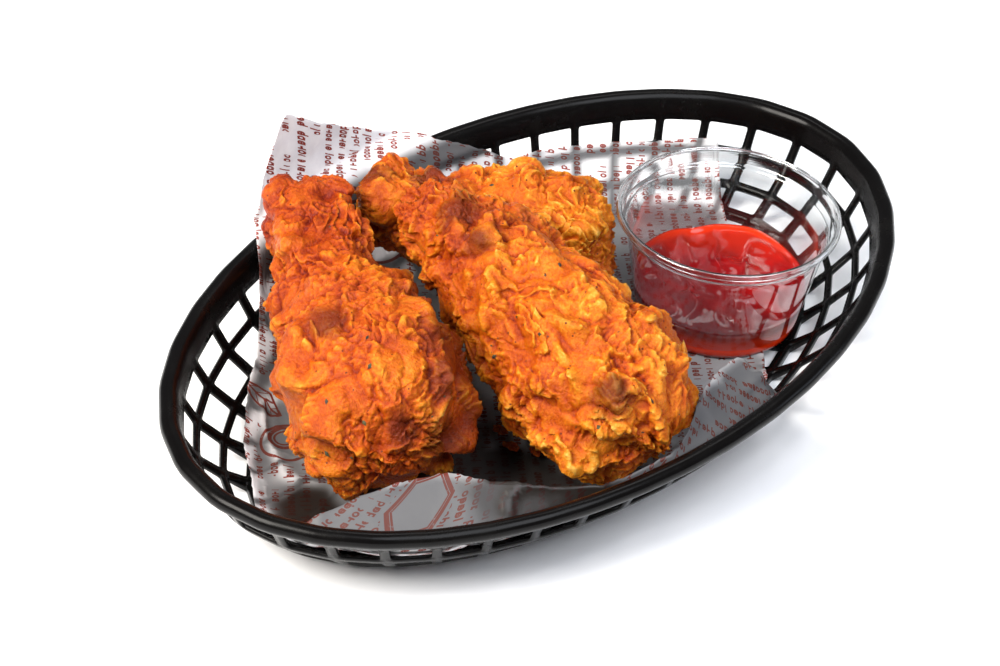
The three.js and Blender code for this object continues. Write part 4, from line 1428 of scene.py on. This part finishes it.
# Soft round lights: place and width in mm, the setting that holds the power, share of it, and tint
LIGHTS = {
    "key": ((-540, 170, 570), 500, "key_power", 1.0, "#fffaf2"),
    "fill": ((-60, -380, 720), 640, "fill_power", 1.0, "#f4f8ff"),
    "rim": ((520, -420, 240), 200, "fill_power", 0.05, "#e6efff"),
    "left pane": ((250, 281, 610), 170, "pane_power", 1.0, "#ffffff"),
    "right pane": ((396, 117, 610), 170, "pane_power", 1.0, "#ffffff"),
}
# The camera as solved from the photo: place in mm, its own right, up and back, lens in mm and shift
CAMERA_PLACE = (-431.99, -343.77, 440.11)
CAMERA_AXES = ((0.66255, -0.74591, 0.06813), (0.42983, 0.45312, 0.78098), (-0.61342, -0.48815, 0.62083))
CAMERA_LENS = 94.9
CAMERA_SHIFT = (-0.0415, 0.0299)


class BASKET_OT_stage(bpy.types.Operator):
    """Sets the pale board, the soft lights, the white surround and the camera"""

    bl_idname = "basket.stage"
    bl_label = "Stage"

    def execute(self, context):
        s = context.scene.stage_settings
        corners = np.array([(-1, -1, 0), (1, -1, 0), (1, 1, 0), (-1, 1, 0)]) * BOARD_HALF
        mesh_object("board", corners, [(0, 1, 2, 3)], pale_board(s))
        for name, (place, size, setting, share, tint) in LIGHTS.items():
            data = bpy.data.lights.new(name, "AREA")
            data.shape = "DISK"
            data.size = size * MM
            data.energy = getattr(s, setting) * share
            data.color = linear(tint)[:3]
            light = bpy.data.objects.new(name, data)
            light.location = Vector(place) * MM
            light.rotation_euler = (Vector((0, 0, 0.02)) - light.location).to_track_quat("-Z", "Y").to_euler()
            context.scene.collection.objects.link(light)
        world = bpy.data.worlds.new("white surround")
        world.use_nodes = True
        world.node_tree.nodes.clear()
        surface = add_node(world.node_tree, "Background", {"Color": linear("#f4f6fa"), "Strength": s.sky})
        add_node(world.node_tree, "OutputWorld", [surface])
        context.scene.world = world
        context.scene.view_settings.view_transform = "Standard"
        camera = bpy.data.cameras.new("camera")
        camera.sensor_width = 36
        camera.lens = CAMERA_LENS
        camera.shift_x, camera.shift_y = CAMERA_SHIFT
        camera.clip_start = 0.05
        view = bpy.data.objects.new("camera", camera)
        turn = Matrix(CAMERA_AXES).transposed().to_4x4()
        view.matrix_world = Matrix.Translation(Vector(CAMERA_PLACE) * MM) @ turn
        context.scene.collection.objects.link(view)
        context.scene.camera = view
        return {"FINISHED"}


class BASKET_PT_panel(bpy.types.Panel):
    """Sizes and colours of the basket and what it holds"""

    bl_label = "Chicken basket"
    bl_idname = "BASKET_PT_panel"
    bl_space_type = "VIEW_3D"
    bl_region_type = "UI"
    bl_category = "Chicken basket"

    def draw(self, context):
        for operator in PIECES:
            self.layout.operator(operator.bl_idname)
        for name, group in SETTINGS.items():
            box = self.layout.box()
            box.label(text=group.__name__.replace("Settings", ""))
            for key in group.__annotations__:
                box.prop(getattr(context.scene, name), key)


SETTINGS = {
    "basket_settings": BasketSettings,
    "liner_settings": LinerSettings,
    "crust_settings": CrustSettings,
    "cup_settings": CupSettings,
    "dip_settings": DipSettings,
    "stage_settings": StageSettings,
}
PIECES = (
    BASKET_OT_moulding,
    BASKET_OT_liner,
    BASKET_OT_drumsticks,
    BASKET_OT_scraps,
    BASKET_OT_pepper,
    BASKET_OT_cup,
    BASKET_OT_dip,
    BASKET_OT_stage,
)


def register():
    """Adds the settings to the scene, then the operators and the panel."""
    for name, group in SETTINGS.items():
        bpy.utils.register_class(group)
        setattr(bpy.types.Scene, name, PointerProperty(type=group))
    for cls in PIECES + (BASKET_PT_panel,):
        bpy.utils.register_class(cls)


def unregister():
    """Takes away what register() added."""
    for cls in reversed(PIECES + (BASKET_PT_panel,)):
        bpy.utils.unregister_class(cls)
    for name, group in SETTINGS.items():
        delattr(bpy.types.Scene, name)
        bpy.utils.unregister_class(group)


def main():
    """Builds every piece in order."""
    register()
    bpy.ops.basket.moulding()
    bpy.ops.basket.liner()
    bpy.ops.basket.drumsticks()
    bpy.ops.basket.scraps()
    bpy.ops.basket.pepper()
    bpy.ops.basket.cup()
    bpy.ops.basket.dip()
    bpy.ops.basket.stage()


if __name__ == "__main__":
    main()
